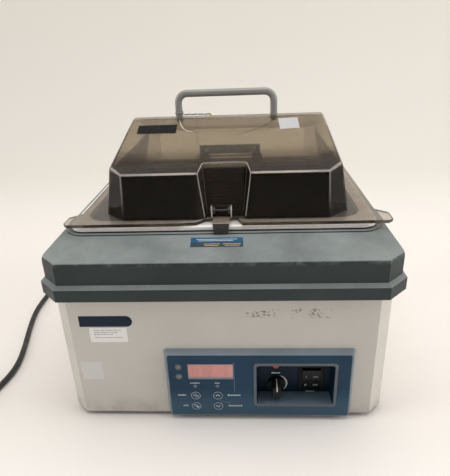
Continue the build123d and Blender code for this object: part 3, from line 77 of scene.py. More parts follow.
CATCH_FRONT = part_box("front_catch")[0].y
DECK_LOW, DECK_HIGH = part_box("top_deck")
GLAND_LOW, GLAND_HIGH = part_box("cord_gland")


def length(name, text, value, low, high):
    """A length that the sidebar can change."""
    return bpy.props.FloatProperty(name=name, description=text, default=value, min=low, max=high,
                                   unit="LENGTH")


def tint(name, text, *value):
    """A colour that the sidebar can change."""
    return bpy.props.FloatVectorProperty(name=name, description=text, subtype="COLOR", size=3,
                                         default=value, min=0, max=1)


class BathSizes(bpy.types.PropertyGroup):
    cord_diameter: length("Cord diameter", "Outside diameter of the mains lead", 0.007, 0.004, 0.012)
    coil_radius: length("Coil radius", "Middle line of the coil's outermost turn", 0.051, 0.03, 0.1)
    coil_pitch: length("Coil pitch", "Step from one turn of the coil to the next, across and up",
                       0.0078, 0.005, 0.02)
    coil_turns: bpy.props.IntProperty(
        name="Coil turns", description="Turns in the put-away coil", default=5, min=2, max=12)
    print_height: length("Print height", "How far printed marks stand above what they are printed on",
                         0.00008, 0.00002, 0.0005)
    label_height: length("Label height", "Thickness of the stickers and tapes", 0.00018, 0.00005, 0.001)
    camera_lens: bpy.props.FloatProperty(
        name="Camera lens", description="Focal length on a 36 mm frame", default=35.01, min=10, max=200,
        subtype="DISTANCE_CAMERA")


class BathColours(bpy.types.PropertyGroup):
    case_paint: tint("Case paint", "Pale grey paint of the case", 0.66, 0.63, 0.58)
    deck: tint("Deck", "Dark grey-green moulding", 0.030, 0.043, 0.042)
    panel: tint("Panel film", "Blue printed film", 0.015, 0.051, 0.100)
    cover: tint("Cover roof", "What one face of the roof's smoky sheet lets through", 0.53, 0.475, 0.40)
    # Painted shade: the roof's tint just above the eave is darker.
    cover_eave: tint("Cover roof's foot", "What one face of the roof lets through above the eave",
                     0.23, 0.19, 0.155)
    # Painted shade: the upright walls get a darker tint than the roof.
    cover_wall: tint("Cover walls", "What one face of the darker upright walls lets through",
                     0.095, 0.08, 0.064)
    cover_flange: tint("Cover flange", "What one face of the cover's flange lets through",
                       0.62, 0.575, 0.52)
    handle: tint("Handle", "Grey coating of the bar", 0.30, 0.30, 0.285)
    cord: tint("Cord", "Sheath of the mains lead", 0.018, 0.018, 0.019)
    print_ink: tint("Print ink", "Pale ink of the panel's signs", 0.62, 0.66, 0.68)
    display: tint("Display", "Lit red filter of the display", 0.47, 0.205, 0.185)


def scaled(colour, factor, plus=0.0):
    """A colour made lighter or darker."""
    return [min(1.0, channel * factor + plus) for channel in colour[:3]]


class Surface:
    """A material and its nodes, with the Principled shader at its end."""

    def __init__(self, name, colour, roughness, metallic=0.0):
        self.material = bpy.data.materials.new(name)
        self.material.use_nodes = True
        self.nodes = self.material.node_tree.nodes
        self.links = self.material.node_tree.links
        self.nodes.clear()
        output = self.nodes.new("ShaderNodeOutputMaterial")
        self.shader = self.nodes.new("ShaderNodeBsdfPrincipled")
        self.links.new(self.shader.outputs[0], output.inputs[0])
        self.colour = (*colour[:3], 1.0)
        self.material.diffuse_color = self.colour
        self.set(Base_Color=self.colour, Roughness=roughness, Metallic=metallic)
        self.place = self.nodes.new("ShaderNodeTexCoord").outputs["Object"]

    def put(self, socket, value):
        """Link a node's output to a socket, or set the socket to a plain value."""
        if isinstance(value, bpy.types.NodeSocket):
            self.links.new(value, socket)
        else:
            socket.default_value = value

    def set(self, **values):
        """Set the shader's own sockets, by their names with spaces."""
        for name, value in values.items():
            self.put(self.shader.inputs[name.replace("_", " ")], value)
        return self

    def node(self, kind, **values):
        """A new node with some sockets set, by their names with spaces."""
        node = self.nodes.new("ShaderNode" + kind)
        for name, value in values.items():
            self.put(node.inputs[name.replace("_", " ")], value)
        return node

    def moved(self, stretch=(1, 1, 1), turn=(0, 0, 0), shift=(0, 0, 0)):
        """Object coordinates, turned and stretched."""
        return self.node("Mapping", Vector=self.place, Scale=stretch, Rotation=turn,
                         Location=shift).outputs[0]

    def noise(self, size, detail=3.0, roughness=0.55, where=None):
        """Noise whose blotches are about size metres across."""
        return self.node("TexNoise", Vector=where or self.place, Scale=0.6 / size, Detail=detail,
                         Roughness=roughness).outputs["Fac"]

    def cells(self, size, feature="F1"):
        """Cells about size metres across."""
        node = self.node("TexVoronoi", Vector=self.place, Scale=1 / size)
        node.feature = feature
        return node.outputs["Distance"]

    def between(self, value, low, high, start=0.0, end=1.0):
        """Map low..high smoothly to start..end and hold it there outside."""
        node = self.node("MapRange", Value=value, From_Min=low, From_Max=high, To_Min=start, To_Max=end)
        node.interpolation_type = "SMOOTHSTEP"
        return node.outputs[0]

    def maths(self, kind, first, second=0.0):
        """One maths node, held to 0..1 where it multiplies or adds."""
        node = self.nodes.new("ShaderNodeMath")
        node.operation = kind
        node.use_clamp = kind in {"MULTIPLY", "ADD"}
        self.put(node.inputs[0], first)
        self.put(node.inputs[1], second)
        return node.outputs[0]

    def overlap(self, first, *others):
        """Shares multiplied: high only where all of them are."""
        for share in others:
            first = self.maths("MULTIPLY", first, share)
        return first

    def blend(self, share, first, second):
        """A colour between first and second."""
        node = self.nodes.new("ShaderNodeMix")
        node.data_type = "RGBA"
        self.put(node.inputs["Factor"], share)
        for socket, value in ((node.inputs[6], first), (node.inputs[7], second)):
            if not isinstance(value, bpy.types.NodeSocket):
                value = (*value[:3], 1.0)
            self.put(socket, value)
        return node.outputs[2]

    def component(self, vector, letter):
        """One component of a vector."""
        return self.node("SeparateXYZ", Vector=vector).outputs["XYZ".index(letter)]

    def zone(self, letter, start, end, first=0.0, last=1.0):
        """A share that changes while one object coordinate goes from start to end."""
        return self.between(self.component(self.place, letter), start, end, first, last)

    def facing(self, letter):
        """One component of the surface's own normal, which turns with its piece."""
        return self.component(self.place.node.outputs["Normal"], letter)

    def bump(self, height, depth, strength=1.0):
        """Bump the surface, depth in metres, on top of any bump it already has."""
        node = self.node("Bump", Distance=depth, Strength=strength, Height=height)
        socket = self.shader.inputs["Normal"]
        if socket.is_linked:
            self.links.new(socket.links[0].from_socket, node.inputs["Normal"])
        self.links.new(node.outputs[0], socket)
        return self

    def mottled(self, amount, patch):
        """Vary the base colour a little, lighter and darker, in blotches of patch metres."""
        share = self.between(self.noise(patch, 4), 0.3, 0.7)
        colour = self.blend(share, scaled(self.colour, 1 - amount), scaled(self.colour, 1 + amount))
        self.set(Base_Color=colour)
        return colour

    def uneven(self, low, high, patch):
        """Vary the roughness between two values, in blotches of patch metres."""
        return self.set(Roughness=self.between(self.noise(patch, 5, 0.6), 0.3, 0.7, low, high))


def moulded(name, colour, roughness=0.45, grain=0.0007, depth=0.00003, amount=0.08):
    """A moulded plastic with a fine spark-eroded grain."""
    look = Surface(name, colour, roughness)
    look.mottled(amount, 0.03)
    look.uneven(roughness - 0.06, roughness + 0.1, 0.02)
    return look.bump(look.noise(grain, 2), depth, 0.6)


def gloss(name, colour, roughness=0.18):
    """A smooth glossy plastic with faint rub marks."""
    look = Surface(name, colour, roughness)
    look.mottled(0.05, 0.02)
    rubs = look.noise(0.0011, 6, 0.7, look.moved((1, 1, 0.15)))
    look.set(Roughness=look.between(rubs, 0.35, 0.75, roughness * 0.7, roughness * 1.9))
    return look.bump(look.noise(0.012, 2), 0.00008, 0.4)


def brushed(name, colour, roughness=0.3, along="X"):
    """Steel sheet with rolling lines along one direction."""
    look = Surface(name, colour, roughness, 1.0)
    stretch = [0.03 if letter == along else 1 for letter in "XYZ"]
    lines = look.noise(0.0006, 5, 0.7, look.moved(stretch))
    smears = look.noise(0.03, 4)
    look.set(Roughness=look.maths("ADD", look.between(lines, 0.25, 0.75, roughness * 0.6, roughness * 1.2),
                                  look.between(smears, 0.4, 0.7, 0.0, 0.12)))
    look.set(Base_Color=look.blend(look.between(smears, 0.35, 0.7), colour, scaled(colour, 0.82)))
    return look.bump(lines, 0.000006, 0.5)


def rubber(name, colour, roughness=0.62):
    """Matt rubber, dusty in patches."""
    look = Surface(name, colour, roughness)
    dust = look.between(look.noise(0.012, 6, 0.65), 0.48, 0.75, 0.0, 0.55)
    look.set(Base_Color=look.blend(dust, colour, scaled(colour, 2.1, 0.012)))
    look.uneven(roughness - 0.08, roughness + 0.14, 0.008)
    return look.bump(look.noise(0.0005, 3), 0.00003, 0.6)


def case_paint(colour):
    """Satin paint with orange peel, grime at its foot and two groups of small dark chips under the skirt."""
    look = Surface("case_paint", colour, 0.42)
    grime = look.overlap(look.zone("Z", 0.03, 0.004), look.between(look.noise(0.02, 5), 0.35, 0.7), 0.45)
    base = look.blend(grime, look.mottled(0.035, 0.06), (0.24, 0.19, 0.14))
    groups = []
    for left, right, foot, top in ((0.018, 0.064, 0.127, 0.139), (0.066, 0.118, 0.126, 0.140)):
        groups.append(look.overlap(look.zone("X", left, left + 0.01), look.zone("X", right, right - 0.012),
                                   look.zone("Z", foot, foot + 0.004), look.zone("Z", top, top - 0.003)))
    specks = look.between(look.noise(0.0012, 4, 0.7, look.moved((0.75, 1, 1))), 0.545, 0.60)
    clusters = look.between(look.noise(0.007, 3, 0.6), 0.41, 0.51)
    chips = look.overlap(look.maths("ADD", *groups), specks, clusters, look.zone("Y", -0.1695, -0.1705))
    scratches = look.between(look.noise(0.004, 4, 0.6, look.moved((0.12, 1, 2.2), (0, 0.5, 0))), 0.69, 0.715)
    base = look.blend(look.overlap(chips, 0.9), base, (0.035, 0.033, 0.03))
    look.set(Base_Color=look.blend(look.overlap(scratches, 0.22), base, (0.40, 0.37, 0.33)))
    look.uneven(0.34, 0.52, 0.02)
    look.bump(look.noise(0.0016, 2), 0.00003, 0.5)
    return look.bump(chips, -0.0001, 0.6)


def deck_plastic(colour):
    """Dark grained moulding, lighter on its upper faces from dust and painted sheen together, and rubbed pale
    along its upper edges.
    """
    look = Surface("deck_plastic", colour, 0.5)
    # Dust and painted sheen: the upward faces are lightened in patches, both for dust and for the sheen of
    # the room's light on them.
    dust = look.overlap(look.between(look.facing("Z"), 0.5, 0.95),
                        look.between(look.noise(0.03, 6, 0.6), 0.25, 0.8, 0.38, 0.66))
    base = look.blend(dust, look.mottled(0.10, 0.05), (0.42, 0.465, 0.46))
    top = DECK_HIGH.z
    worn = look.overlap(look.zone("Z", top - 0.0135, top - 0.0095),
                        look.zone("Z", top - 0.0055, top - 0.0085),
                        look.between(look.noise(0.008, 6, 0.7), 0.45, 0.7, 0.0, 0.35))
    look.set(Base_Color=look.blend(worn, base, (0.30, 0.34, 0.34)), Specular_IOR_Level=0.3)
    look.uneven(0.44, 0.60, 0.03)
    return look.bump(look.noise(0.0009, 3, 0.6), 0.00007, 0.75)


def tank_sheet():
    """Drawn steel, darkened inside as painted shade, with its rim painted near white as a painted highlight
    above a dark painted shade line at its foot.
    """
    # Painted shade: the steel is made darker than bare steel, for the dim inside of the tank.
    look = brushed("tank_steel", (0.40, 0.39, 0.375), 0.26, "X")
    shade_darkened_steel = look.shader.inputs["Base Color"].links[0].from_socket
    # Painted highlight: the rim band is painted near white and made barely metallic, for the bright light
    # along the rolled rim.
    rim = look.zone("Z", RIM_TOP - 0.0064, RIM_TOP - 0.0058)
    fold = 0.006
    centred = look.moved(shift=(-(TANK_LOW.x + TANK_HIGH.x) / 2, -TANK_Y, 0))
    sides = []
    for letter, reach in (("X", (TANK_HIGH.x - TANK_LOW.x) / 2), ("Y", (TANK_HIGH.y - TANK_LOW.y) / 2)):
        away = look.maths("ABSOLUTE", look.component(centred, letter))
        sides.append(look.between(away, reach - fold, reach - fold + 0.002))
    # Painted shade: a dark line at the foot of the rim's outer face, for the shade in the gap above the
    # gasket.
    foot = look.overlap(look.maths("MAXIMUM", *sides), look.zone("Z", RIM_TOP - 0.0042, RIM_TOP - 0.0050))
    painted_rim_light = look.blend(foot, (1.0, 0.955, 0.93), (0.012, 0.012, 0.012))
    return look.set(Base_Color=look.blend(rim, shade_darkened_steel, painted_rim_light), Metallic=look.between(rim, 0.0, 1.0, 1.0, 0.15))


def cover_sheet(roof, eave, wall, flange):
    """Smoky clear sheet with fine scratches and haze, whose tint is painted light and shade: painted shade
    makes it darker above the eave and darkest in its front walls, the rear walls, the recess and a band at
    the eave are painted clearer, the foot of its upright faces is painted dark, and its folds and corners are
    painted highlights that glow.
    """
    look = Surface("cover_sheet", roof, 0.05)
    steep = look.maths("ABSOLUTE", look.facing("Z"))
    side = look.maths("ABSOLUTE", look.facing("X"))
    level = look.between(steep, 0.35, 0.7)
    # On upright faces the foot band is painted shade: a dark line along the flange's edge.
    foot = look.zone("Z", FLANGE_TOP + 0.0010, FLANGE_TOP + 0.0002)
    # Painted shade: the roof is tinted darker in a band just above the eave.
    upper = look.zone("Z", EAVE + 0.0055, EAVE + 0.0170)
    across = look.maths("ABSOLUTE", look.component(look.place, "X"))
    # Painted light: the front recess's walls are tinted clearer than the front walls.
    recess = look.overlap(look.zone("Y", TANK_Y - 0.09, TANK_Y - 0.095), look.between(across, 0.026, 0.022))
    walls = look.blend(recess, wall, (0.24, 0.20, 0.16))
    # Painted light: the rear walls and a band at the eave are tinted clear, while the front walls keep their
    # dark tint as painted shade.
    rear = look.overlap(look.zone("Y", TANK_Y + 0.03, TANK_Y + 0.07), look.between(side, 0.9, 0.6))
    clear = look.maths("MAXIMUM", rear, look.zone("Z", EAVE - 0.001, EAVE + 0.003))
    walls = look.blend(clear, walls, (0.80, 0.73, 0.61))
    # Painted highlights: the eave fold and the upright corners are painted near white and made to glow
    # faintly.
    fold = look.overlap(look.between(steep, 0.30, 0.45), look.between(steep, 0.93, 0.85))
    corner = look.overlap(look.between(side, 0.10, 0.25), look.between(side, 0.64, 0.50),
                          look.zone("Z", FLANGE_TOP, EAVE, 0.0, 0.8), look.between(steep, 0.5, 0.3))
    fold = look.maths("ADD", fold, corner)
    smoke = look.blend(level, look.blend(foot, walls, (0.15, 0.14, 0.13)),
                       look.blend(foot, look.blend(upper, eave, roof), flange))
    fine = look.noise(0.0016, 3, 0.6, look.moved((0.05, 1, 1), (0.2, 0.1, 0.5)))
    other = look.noise(0.0020, 3, 0.6, look.moved((1, 0.06, 1), (0.1, 0.3, 0.9)))
    marks = look.maths("ADD", look.between(fine, 0.66, 0.72), look.between(other, 0.67, 0.73))
    haze = look.between(look.noise(0.05, 5, 0.6), 0.5, 0.8, 0.0, 0.07)
    roughness = look.maths("ADD", look.overlap(marks, 0.16), haze)
    look.set(Transmission_Weight=0.90, IOR=1.17, Roughness=look.maths("ADD", roughness, 0.03),
             Base_Color=look.blend(fold, smoke, (1.0, 0.97, 0.94)),
             Emission_Color=(0.30, 0.285, 0.27, 1.0), Emission_Strength=look.overlap(fold, 0.5))
    return look.bump(look.noise(0.11, 2), 0.0016, 0.5)


def catch_sheet():
    """Dark sheet, whose top face is painted a lighter brown as painted light, and whose fold and cut upright
    edges are painted bright as painted highlights.
    """
    look = brushed("catch_sheet", (0.16, 0.14, 0.125), 0.40, "Z")
    dark = look.shader.inputs["Base Color"].links[0].from_socket
    # Painted highlight colour, for the fold and the ears' upright edges.
    bright = (0.78, 0.77, 0.75)
    # Painted light: the top face is painted a lighter brown than the front.
    top = look.overlap(look.zone("Z", FLANGE_TOP + 0.0014, FLANGE_TOP + 0.0018),
                       look.zone("Y", CATCH_FRONT + 0.0006, CATCH_FRONT + 0.0010))
    # Painted highlight: the fold along the front's top edge is painted bright.
    fold = look.overlap(look.zone("Z", FLANGE_TOP + 0.0012, FLANGE_TOP + 0.0017),
                        look.zone("Y", CATCH_FRONT + 0.0010, CATCH_FRONT + 0.0006))
    ears = look.zone("Z", FLANGE_TOP + 0.0021, FLANGE_TOP + 0.0024)
    # Painted highlight: the ears' sideways faces are painted bright.
    edges = look.overlap(ears, look.between(look.maths("ABSOLUTE", look.facing("X")), 0.8, 0.5))
    base = look.blend(ears, look.blend(top, dark, (0.60, 0.50, 0.42)), (0.22, 0.21, 0.20))
    return look.set(Base_Color=look.blend(edges, look.blend(fold, base, bright), bright))


def panel_film(colour):
    """Blue printed film with a fine embossed texture and a few rubbed spots."""
    look = Surface("panel_film", colour, 0.40)
    base = look.blend(look.zone("Z", 0.045, 0.020), look.mottled(0.12, 0.03), (0.042, 0.098, 0.155))
    rubbed = look.between(look.noise(0.005, 7, 0.72), 0.60, 0.72, 0.0, 0.16)
    look.set(Base_Color=look.blend(rubbed, base, (0.20, 0.26, 0.31)), Specular_IOR_Level=0.18)
    look.uneven(0.30, 0.46, 0.015)
    return look.bump(look.noise(0.0005, 2), 0.00002, 0.6)


def well_plastic():
    """Dark blue moulding whose upward faces are painted lighter as painted light, and whose proud border is
    rubbed to a satin grey.
    """
    look = Surface("well_plastic", (0.006, 0.022, 0.042), 0.42)
    # Painted light: the upward faces, such as the well's floor, are painted a lighter blue.
    base = look.blend(look.between(look.facing("Z"), 0.6, 0.9), look.mottled(0.1, 0.02), (0.125, 0.185, 0.24))
    border = look.zone("Y", PANEL_FACE + 0.0006, PANEL_FACE - 0.0001)
    look.set(Base_Color=look.blend(border, base, (0.14, 0.16, 0.18)), Specular_IOR_Level=0.15)
    look.uneven(0.34, 0.50, 0.012)
    return look.bump(look.noise(0.0006, 2), 0.00002, 0.5)


def lit_display(colour):
    """The display's filter, glowing evenly above a dark foot."""
    look = Surface("lit_display", colour, 0.22)
    bands = look.noise(0.006, 2, 0.5, look.moved((1, 1, 0.05)))
    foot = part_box("display_window")[0].z
    glow = look.blend(look.between(bands, 0.35, 0.65), scaled(colour, 0.84), colour)
    glow = look.blend(look.zone("Z", foot + 0.0030, foot + 0.0018), glow, (0.19, 0.17, 0.155))
    return look.set(Base_Color=glow, Emission_Color=glow, Emission_Strength=0.42)


def printed(name, colour, roughness=0.5, wear=0.25):
    """Ink or paper with small worn specks."""
    look = Surface(name, colour, roughness)
    worn = look.between(look.noise(0.0012, 6, 0.7), 0.55, 0.75, 0.0, wear)
    look.set(Base_Color=look.blend(worn, colour, scaled(colour, 0.45)), Specular_IOR_Level=0.2)
    return look.bump(look.noise(0.0006, 3), 0.00001, 0.5)


def hook_tape():
    """Black tape set with rows of tiny hooks."""
    look = Surface("hook_tape", (0.015, 0.015, 0.018), 0.85)
    hooks = look.cells(0.0014)
    share = look.between(hooks, 0.2, 0.5)
    look.set(Base_Color=look.blend(share, (0.045, 0.045, 0.052), (0.008, 0.008, 0.009)),
             Specular_IOR_Level=0.15)
    return look.bump(look.between(hooks, 0.6, 0.1), 0.0004, 0.8)


def foam():
    """Cellular insulation."""
    look = Surface("foam", (0.62, 0.56, 0.40), 0.9)
    pores = look.cells(0.0018)
    look.set(Base_Color=look.blend(look.between(pores, 0.1, 0.6), (0.66, 0.60, 0.44), (0.40, 0.34, 0.22)))
    return look.bump(look.between(pores, 0.6, 0.1), 0.0003, 0.8)


def circuit_board():
    """Green laminate with pale tracks."""
    look = Surface("circuit_board", (0.02, 0.10, 0.045), 0.35)
    tracks = look.between(look.cells(0.004, "DISTANCE_TO_EDGE"), 0.06, 0.03)
    look.set(Base_Color=look.blend(tracks, look.colour, (0.10, 0.24, 0.10)))
    return look.bump(tracks, 0.00005, 0.6)


def laminated_core():
    """Stacked iron sheets, varnished."""
    look = Surface("laminated_core", (0.06, 0.06, 0.065), 0.45, 0.6)
    sheets = look.noise(0.0008, 2, 0.5, look.moved((1, 0.02, 0.02)))
    share = look.between(sheets, 0.4, 0.6)
    look.set(Base_Color=look.blend(share, (0.03, 0.028, 0.026), (0.14, 0.12, 0.10)))
    return look.bump(sheets, 0.0002, 0.8)


LOOKS = {}
PLAIN_STEEL = (0.62, 0.62, 0.61)
PLAIN_LOOKS = (
    (moulded, "panel_moulding", (0.23, 0.285, 0.335), 0.38),
    (moulded, "pale_moulding", (0.55, 0.54, 0.50), 0.45),
    (moulded, "slot_shadow", (0.03, 0.03, 0.03), 0.5),
    (moulded, "black_moulding", (0.012, 0.012, 0.013), 0.42),
    (gloss, "black_gloss", (0.010, 0.010, 0.011), 0.30),
    (gloss, "lamp_grey", (0.20, 0.19, 0.15), 0.25),
    (gloss, "lamp_red", (0.62, 0.05, 0.04), 0.16),
    (gloss, "wire_pale", (0.56, 0.54, 0.51), 0.4),
    (gloss, "wire_dark", (0.02, 0.02, 0.022), 0.4),
    (gloss, "wire_orange", (0.62, 0.25, 0.04), 0.35),
    # Painted highlights: colours of the thin strands laid along the cover's bends.
    (gloss, "bend_shine", (0.36, 0.335, 0.30), 0.2),
    (gloss, "bend_dim", (0.13, 0.12, 0.105), 0.2),
    (rubber, "plug_moulding", (0.016, 0.016, 0.017), 0.46),
    (rubber, "black_rubber", (0.014, 0.014, 0.014), 0.62),
    (rubber, "silicone", (0.36, 0.09, 0.05), 0.55),
    (brushed, "dark_steel", (0.085, 0.083, 0.08), 0.36, "X"),
    (brushed, "tray_steel", PLAIN_STEEL, 0.30, "Y"),
    (brushed, "zinc_sheet", (0.50, 0.51, 0.52), 0.42, "X"),
    (brushed, "screw_steel", (0.58, 0.58, 0.58), 0.28, "Z"),
    (brushed, "hinge_steel", (0.42, 0.41, 0.40), 0.30, "X"),
    (brushed, "probe_steel", PLAIN_STEEL, 0.22, "Y"),
    (brushed, "brass", (0.66, 0.46, 0.19), 0.25, "Y"),
    (brushed, "aluminium", (0.55, 0.56, 0.57), 0.34, "Z"),
    (printed, "ink_white", (0.88, 0.88, 0.87), 0.45, 0.15),
    (printed, "ink_dim", (0.20, 0.27, 0.33), 0.45, 0.6),
    (printed, "segment_bright", (0.70, 0.30, 0.26), 0.35, 0.1),
    (printed, "paper_white", (1.0, 0.99, 0.97), 0.6, 0.02),
    (printed, "paper_grey", (0.75, 0.76, 0.74), 0.6, 0.1),
    (printed, "paper_ink", (0.36, 0.35, 0.37), 0.6, 0.3),
    (printed, "label_blue", (0.016, 0.110, 0.240), 0.45, 0.2),
    (printed, "label_grey", (0.045, 0.065, 0.090), 0.5, 0.2),
    (printed, "label_navy", (0.006, 0.020, 0.042), 0.5, 0.2),
    (printed, "label_yellow", (0.62, 0.46, 0.10), 0.45, 0.2),
    (printed, "tape_pale", (0.56, 0.56, 0.58), 0.5, 0.1),
    (printed, "crack_white", (0.80, 0.76, 0.66), 0.35, 0.3),
    (printed, "crack_dark", (0.03, 0.024, 0.02), 0.35, 0.3),
)


def make_looks(colours):
    """One material for each finish on the bath."""
    looks = {name: maker(name, *values) for maker, name, *values in PLAIN_LOOKS}
    looks["black_moulding"].set(Specular_IOR_Level=0.15)
    looks["black_gloss"].set(Specular_IOR_Level=0.25)
    looks.update({
        "case_paint": case_paint(colours.case_paint),
        "deck_plastic": deck_plastic(colours.deck),
        "cover_sheet": cover_sheet(colours.cover, colours.cover_eave, colours.cover_wall,
                                   colours.cover_flange),
        "catch_sheet": catch_sheet(),
        "panel_film": panel_film(colours.panel),
        "key_film": panel_film(colours.panel),
        "well_plastic": well_plastic(),
        "lit_display": lit_display(colours.display),
        "handle_coating": moulded("handle_coating", colours.handle, 0.16, 0.0012, 0.00001, 0.05).set(
            Specular_IOR_Level=0.8),
        "cord_sheath": rubber("cord_sheath", colours.cord, 0.42),
        "ink_pale": printed("ink_pale", colours.print_ink, 0.45, 0.5),
        "tank_steel": tank_sheet(),
        "foam": foam(),
        "circuit_board": circuit_board(),
        "laminated_core": laminated_core(),
        "hook_tape": hook_tape(),
    })
    for name, look in looks.items():
        LOOKS[name] = look.material


LOOK_NODES = {
    "case_paint": "outer_case", "deck_plastic": "top_deck", "tank_steel": "tank", "silicone": "heater_pad",
    "zinc_sheet": "base_plate deck_brackets", "black_rubber": "rubber_feet tank_gasket handle_collars",
    "screw_steel": "foot_screws deck_screws panel_screws bracket_screws hinge_pin handle_nuts leaf_screws"
                   " leaf_nuts",
    "foam": "insulation_jacket jacket_rails", "probe_steel": "temperature_probes thermostat_shaft",
    "tray_steel": "perforated_tray", "panel_moulding": "control_panel", "panel_film": "panel_film",
    "lit_display": "display_window", "lamp_grey": "status_lamps set_lamps", "lamp_red": "cutout_lamp",
    "black_moulding": "display_module key_switches switch_housing rocker_axle cutout_knob",
    "circuit_board": "control_board", "brass": "board_pillars", "well_plastic": "control_well",
    "aluminium": "cutout_thermostat heater_relay", "laminated_core": "transformer",
    "pale_moulding": "terminal_block", "hinge_steel": "hinge_bracket hinge_leaf",
    "plug_moulding": "cord_gland mains_plug", "cover_sheet": "lid_cover", "handle_coating": "lid_handle",
    "dark_steel": "catch_bracket catch_pin", "catch_sheet": "front_catch", "black_gloss": "power_rocker",
    "key_film": "mode_key up_key enter_key down_key",
}


class Sheet:
    """A flat place on the bath: where it starts, its right, its up and its outward normal."""

    def __init__(self, origin, up=(0, 0, 1)):
        self.origin = Vector(origin)
        self.right = SIDE_X
        self.up = Vector(up).normalized()
        self.out = self.right.cross(self.up)

    def at(self, u, v, lift=0.0):
        """The point u to the right, v up and lift out from the place."""
        return self.origin + self.right * u + self.up * v + self.out * lift


# One side of the roof, and how far the ridge lies in front of the tank's middle
ROOF_RISE, ROOF_RUN, RIDGE_OFFSET = 0.0377, 0.1143, 0.0055
PANEL = Sheet((0, PANEL_FACE, 0))
WELL = Sheet((0, WELL_BACK, 0))
CASE = Sheet((0, CASE_FACE, 0))
ROOF = Sheet((0, TANK_Y - RIDGE_OFFSET, RIDGE), (0, ROOF_RUN, ROOF_RISE))
FLANGE = Sheet((0, COVER_LOW.y, FLANGE_TOP), (0, 1, 0))
DECK_SLOPE_FOOT = Vector((0, DECK_LOW.y + 0.0045, DECK_HIGH.z - 0.0084))
DECK_SLOPE_HEAD = Vector((0, TANK_Y - 0.1405, DECK_HIGH.z - 0.0014))
DECK_SLOPE = Sheet(DECK_SLOPE_FOOT, DECK_SLOPE_HEAD - DECK_SLOPE_FOOT)


def placed(name, data):
    """A new object in the scene."""
    item = bpy.data.objects.new(name, data)
    bpy.context.scene.collection.objects.link(item)
    return item


def add_piece(name, data, look, body):
    """Put a mesh or curve in the scene as a piece of the bath."""
    piece = placed(name, data)
    data.materials.clear()
    data.materials.append(LOOKS[look])
    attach(piece, body)
    return piece


def kept_mesh(shape, name):
    """Turn the faces of a mesh under construction outward and keep it as mesh data."""
    bmesh.ops.recalc_face_normals(shape, faces=shape.faces)
    mesh = bpy.data.meshes.new(name)
    shape.to_mesh(mesh)
    shape.free()
    return mesh


def frozen(holder):
    """The plain mesh that an object shows; the object goes."""
    bpy.context.view_layer.update()
    graph = bpy.context.evaluated_depsgraph_get()
    mesh = bpy.data.meshes.new_from_object(holder.evaluated_get(graph))
    bpy.data.objects.remove(holder)
    return mesh


def swept(name, points, radius, rings, steps):
    """A round strand along control points, closed at both ends."""
    curve = bpy.data.curves.new(name, "CURVE")
    curve.dimensions = "3D"
    curve.bevel_depth = radius
    curve.bevel_resolution = rings
    curve.resolution_u = steps
    curve.use_fill_caps = True
    spline = curve.splines.new("NURBS")
    spline.points.add(len(points) - 1)
    for knot, point in zip(spline.points, points):
        knot.co = (*point, 1.0)
    spline.use_endpoint_u = True
    spline.order_u = 3
    return curve


def bar(left, base, right, top, left_top=None):
    """The outline of a bar, whose left side may end at a height of its own."""
    return [(left, base), (right, base), (right, top), (left, top if left_top is None else left_top)]


def arc(centre, radius, start, end, steps):
    """Points along an arc, angles in degrees from the right, anticlockwise."""
    turns = [math.radians(start + (end - start) * step / steps) for step in range(steps + 1)]
    return [(centre[0] + radius * math.cos(turn), centre[1] + radius * math.sin(turn)) for turn in turns]


def rounded(low, high, radius):
    """The outline of a rectangle with round corners."""
    (left, base), (right, top) = low, high
    outline = []
    for u, v, turn in ((right - radius, top - radius, 0), (left + radius, top - radius, 90),
                       (left + radius, base + radius, 180), (right - radius, base + radius, 270)):
        outline += arc((u, v), radius, turn, turn + 90, 4)
    return outline


def in_metres(points):
    """Points given in millimetres."""
    return [(u * MM, v * MM) for u, v in points]


class Shape:
    """A mesh under construction, made of closed raised shapes."""

    def __init__(self):
        self.mesh = bmesh.new()

    def raise_cells(self, sheet, cells, high, low):
        """Raise flat cells that share corners into one closed shape between two heights."""
        corners = {}
        faces = []
        for outline in cells:
            corner_list = []
            for u, v in outline:
                key = (round(u, 7), round(v, 7))
                if key not in corners:
                    corners[key] = self.mesh.verts.new(sheet.at(u, v, low))
                if corners[key] not in corner_list:
                    corner_list.append(corners[key])
            if len(corner_list) > 2:
                faces.append(self.mesh.faces.new(corner_list))
        raised = bmesh.ops.extrude_face_region(self.mesh, geom=faces, use_keep_orig=True)
        top = [item for item in raised["geom"] if isinstance(item, bmesh.types.BMVert)]
        bmesh.ops.translate(self.mesh, vec=sheet.out * (high - low), verts=top)

    def plate(self, sheet, outline, high, low=0.0):
        """A raised plate."""
        self.raise_cells(sheet, [outline], high, low)

    def stroke(self, sheet, points, width, high, closed=False, taper=False):
        """A raised line of constant width, or one that thins to its ends."""
        points = [Vector(point) for point in points]
        count = len(points)
        left, right = [], []
        for index, point in enumerate(points):
            before = points[index - 1] if index or closed else point
            after = points[(index + 1) % count] if index + 1 < count or closed else point
            way = (after - before).normalized()
            side = Vector((-way.y, way.x))
            half = width / 2
            if taper:
                half *= 0.12 + 0.88 * abs(math.sin(math.pi * index / (count - 1))) ** 0.7
            left.append(tuple(point + side * half))
            right.append(tuple(point - side * half))
        cells = []
        for index in range(count if closed else count - 1):
            after = (index + 1) % count
            cells.append([right[index], right[after], left[after], left[index]])
        self.raise_cells(sheet, cells, high, 0.0)

    def ring(self, sheet, centre, radius, width, high, start=0.0, end=360.0, taper=False):
        """A raised ring or part of one, angles in degrees from the right, anticlockwise."""
        whole = end - start >= 360
        points = arc(centre, radius, start, end, max(6, int((end - start) / 9)))
        self.stroke(sheet, points[:-1] if whole else points, width, high, whole, taper)

    def done(self, name, look, body):
        """Turn the shapes into a piece that rides on a body."""
        return add_piece(name, kept_mesh(self.mesh, name), look, body)


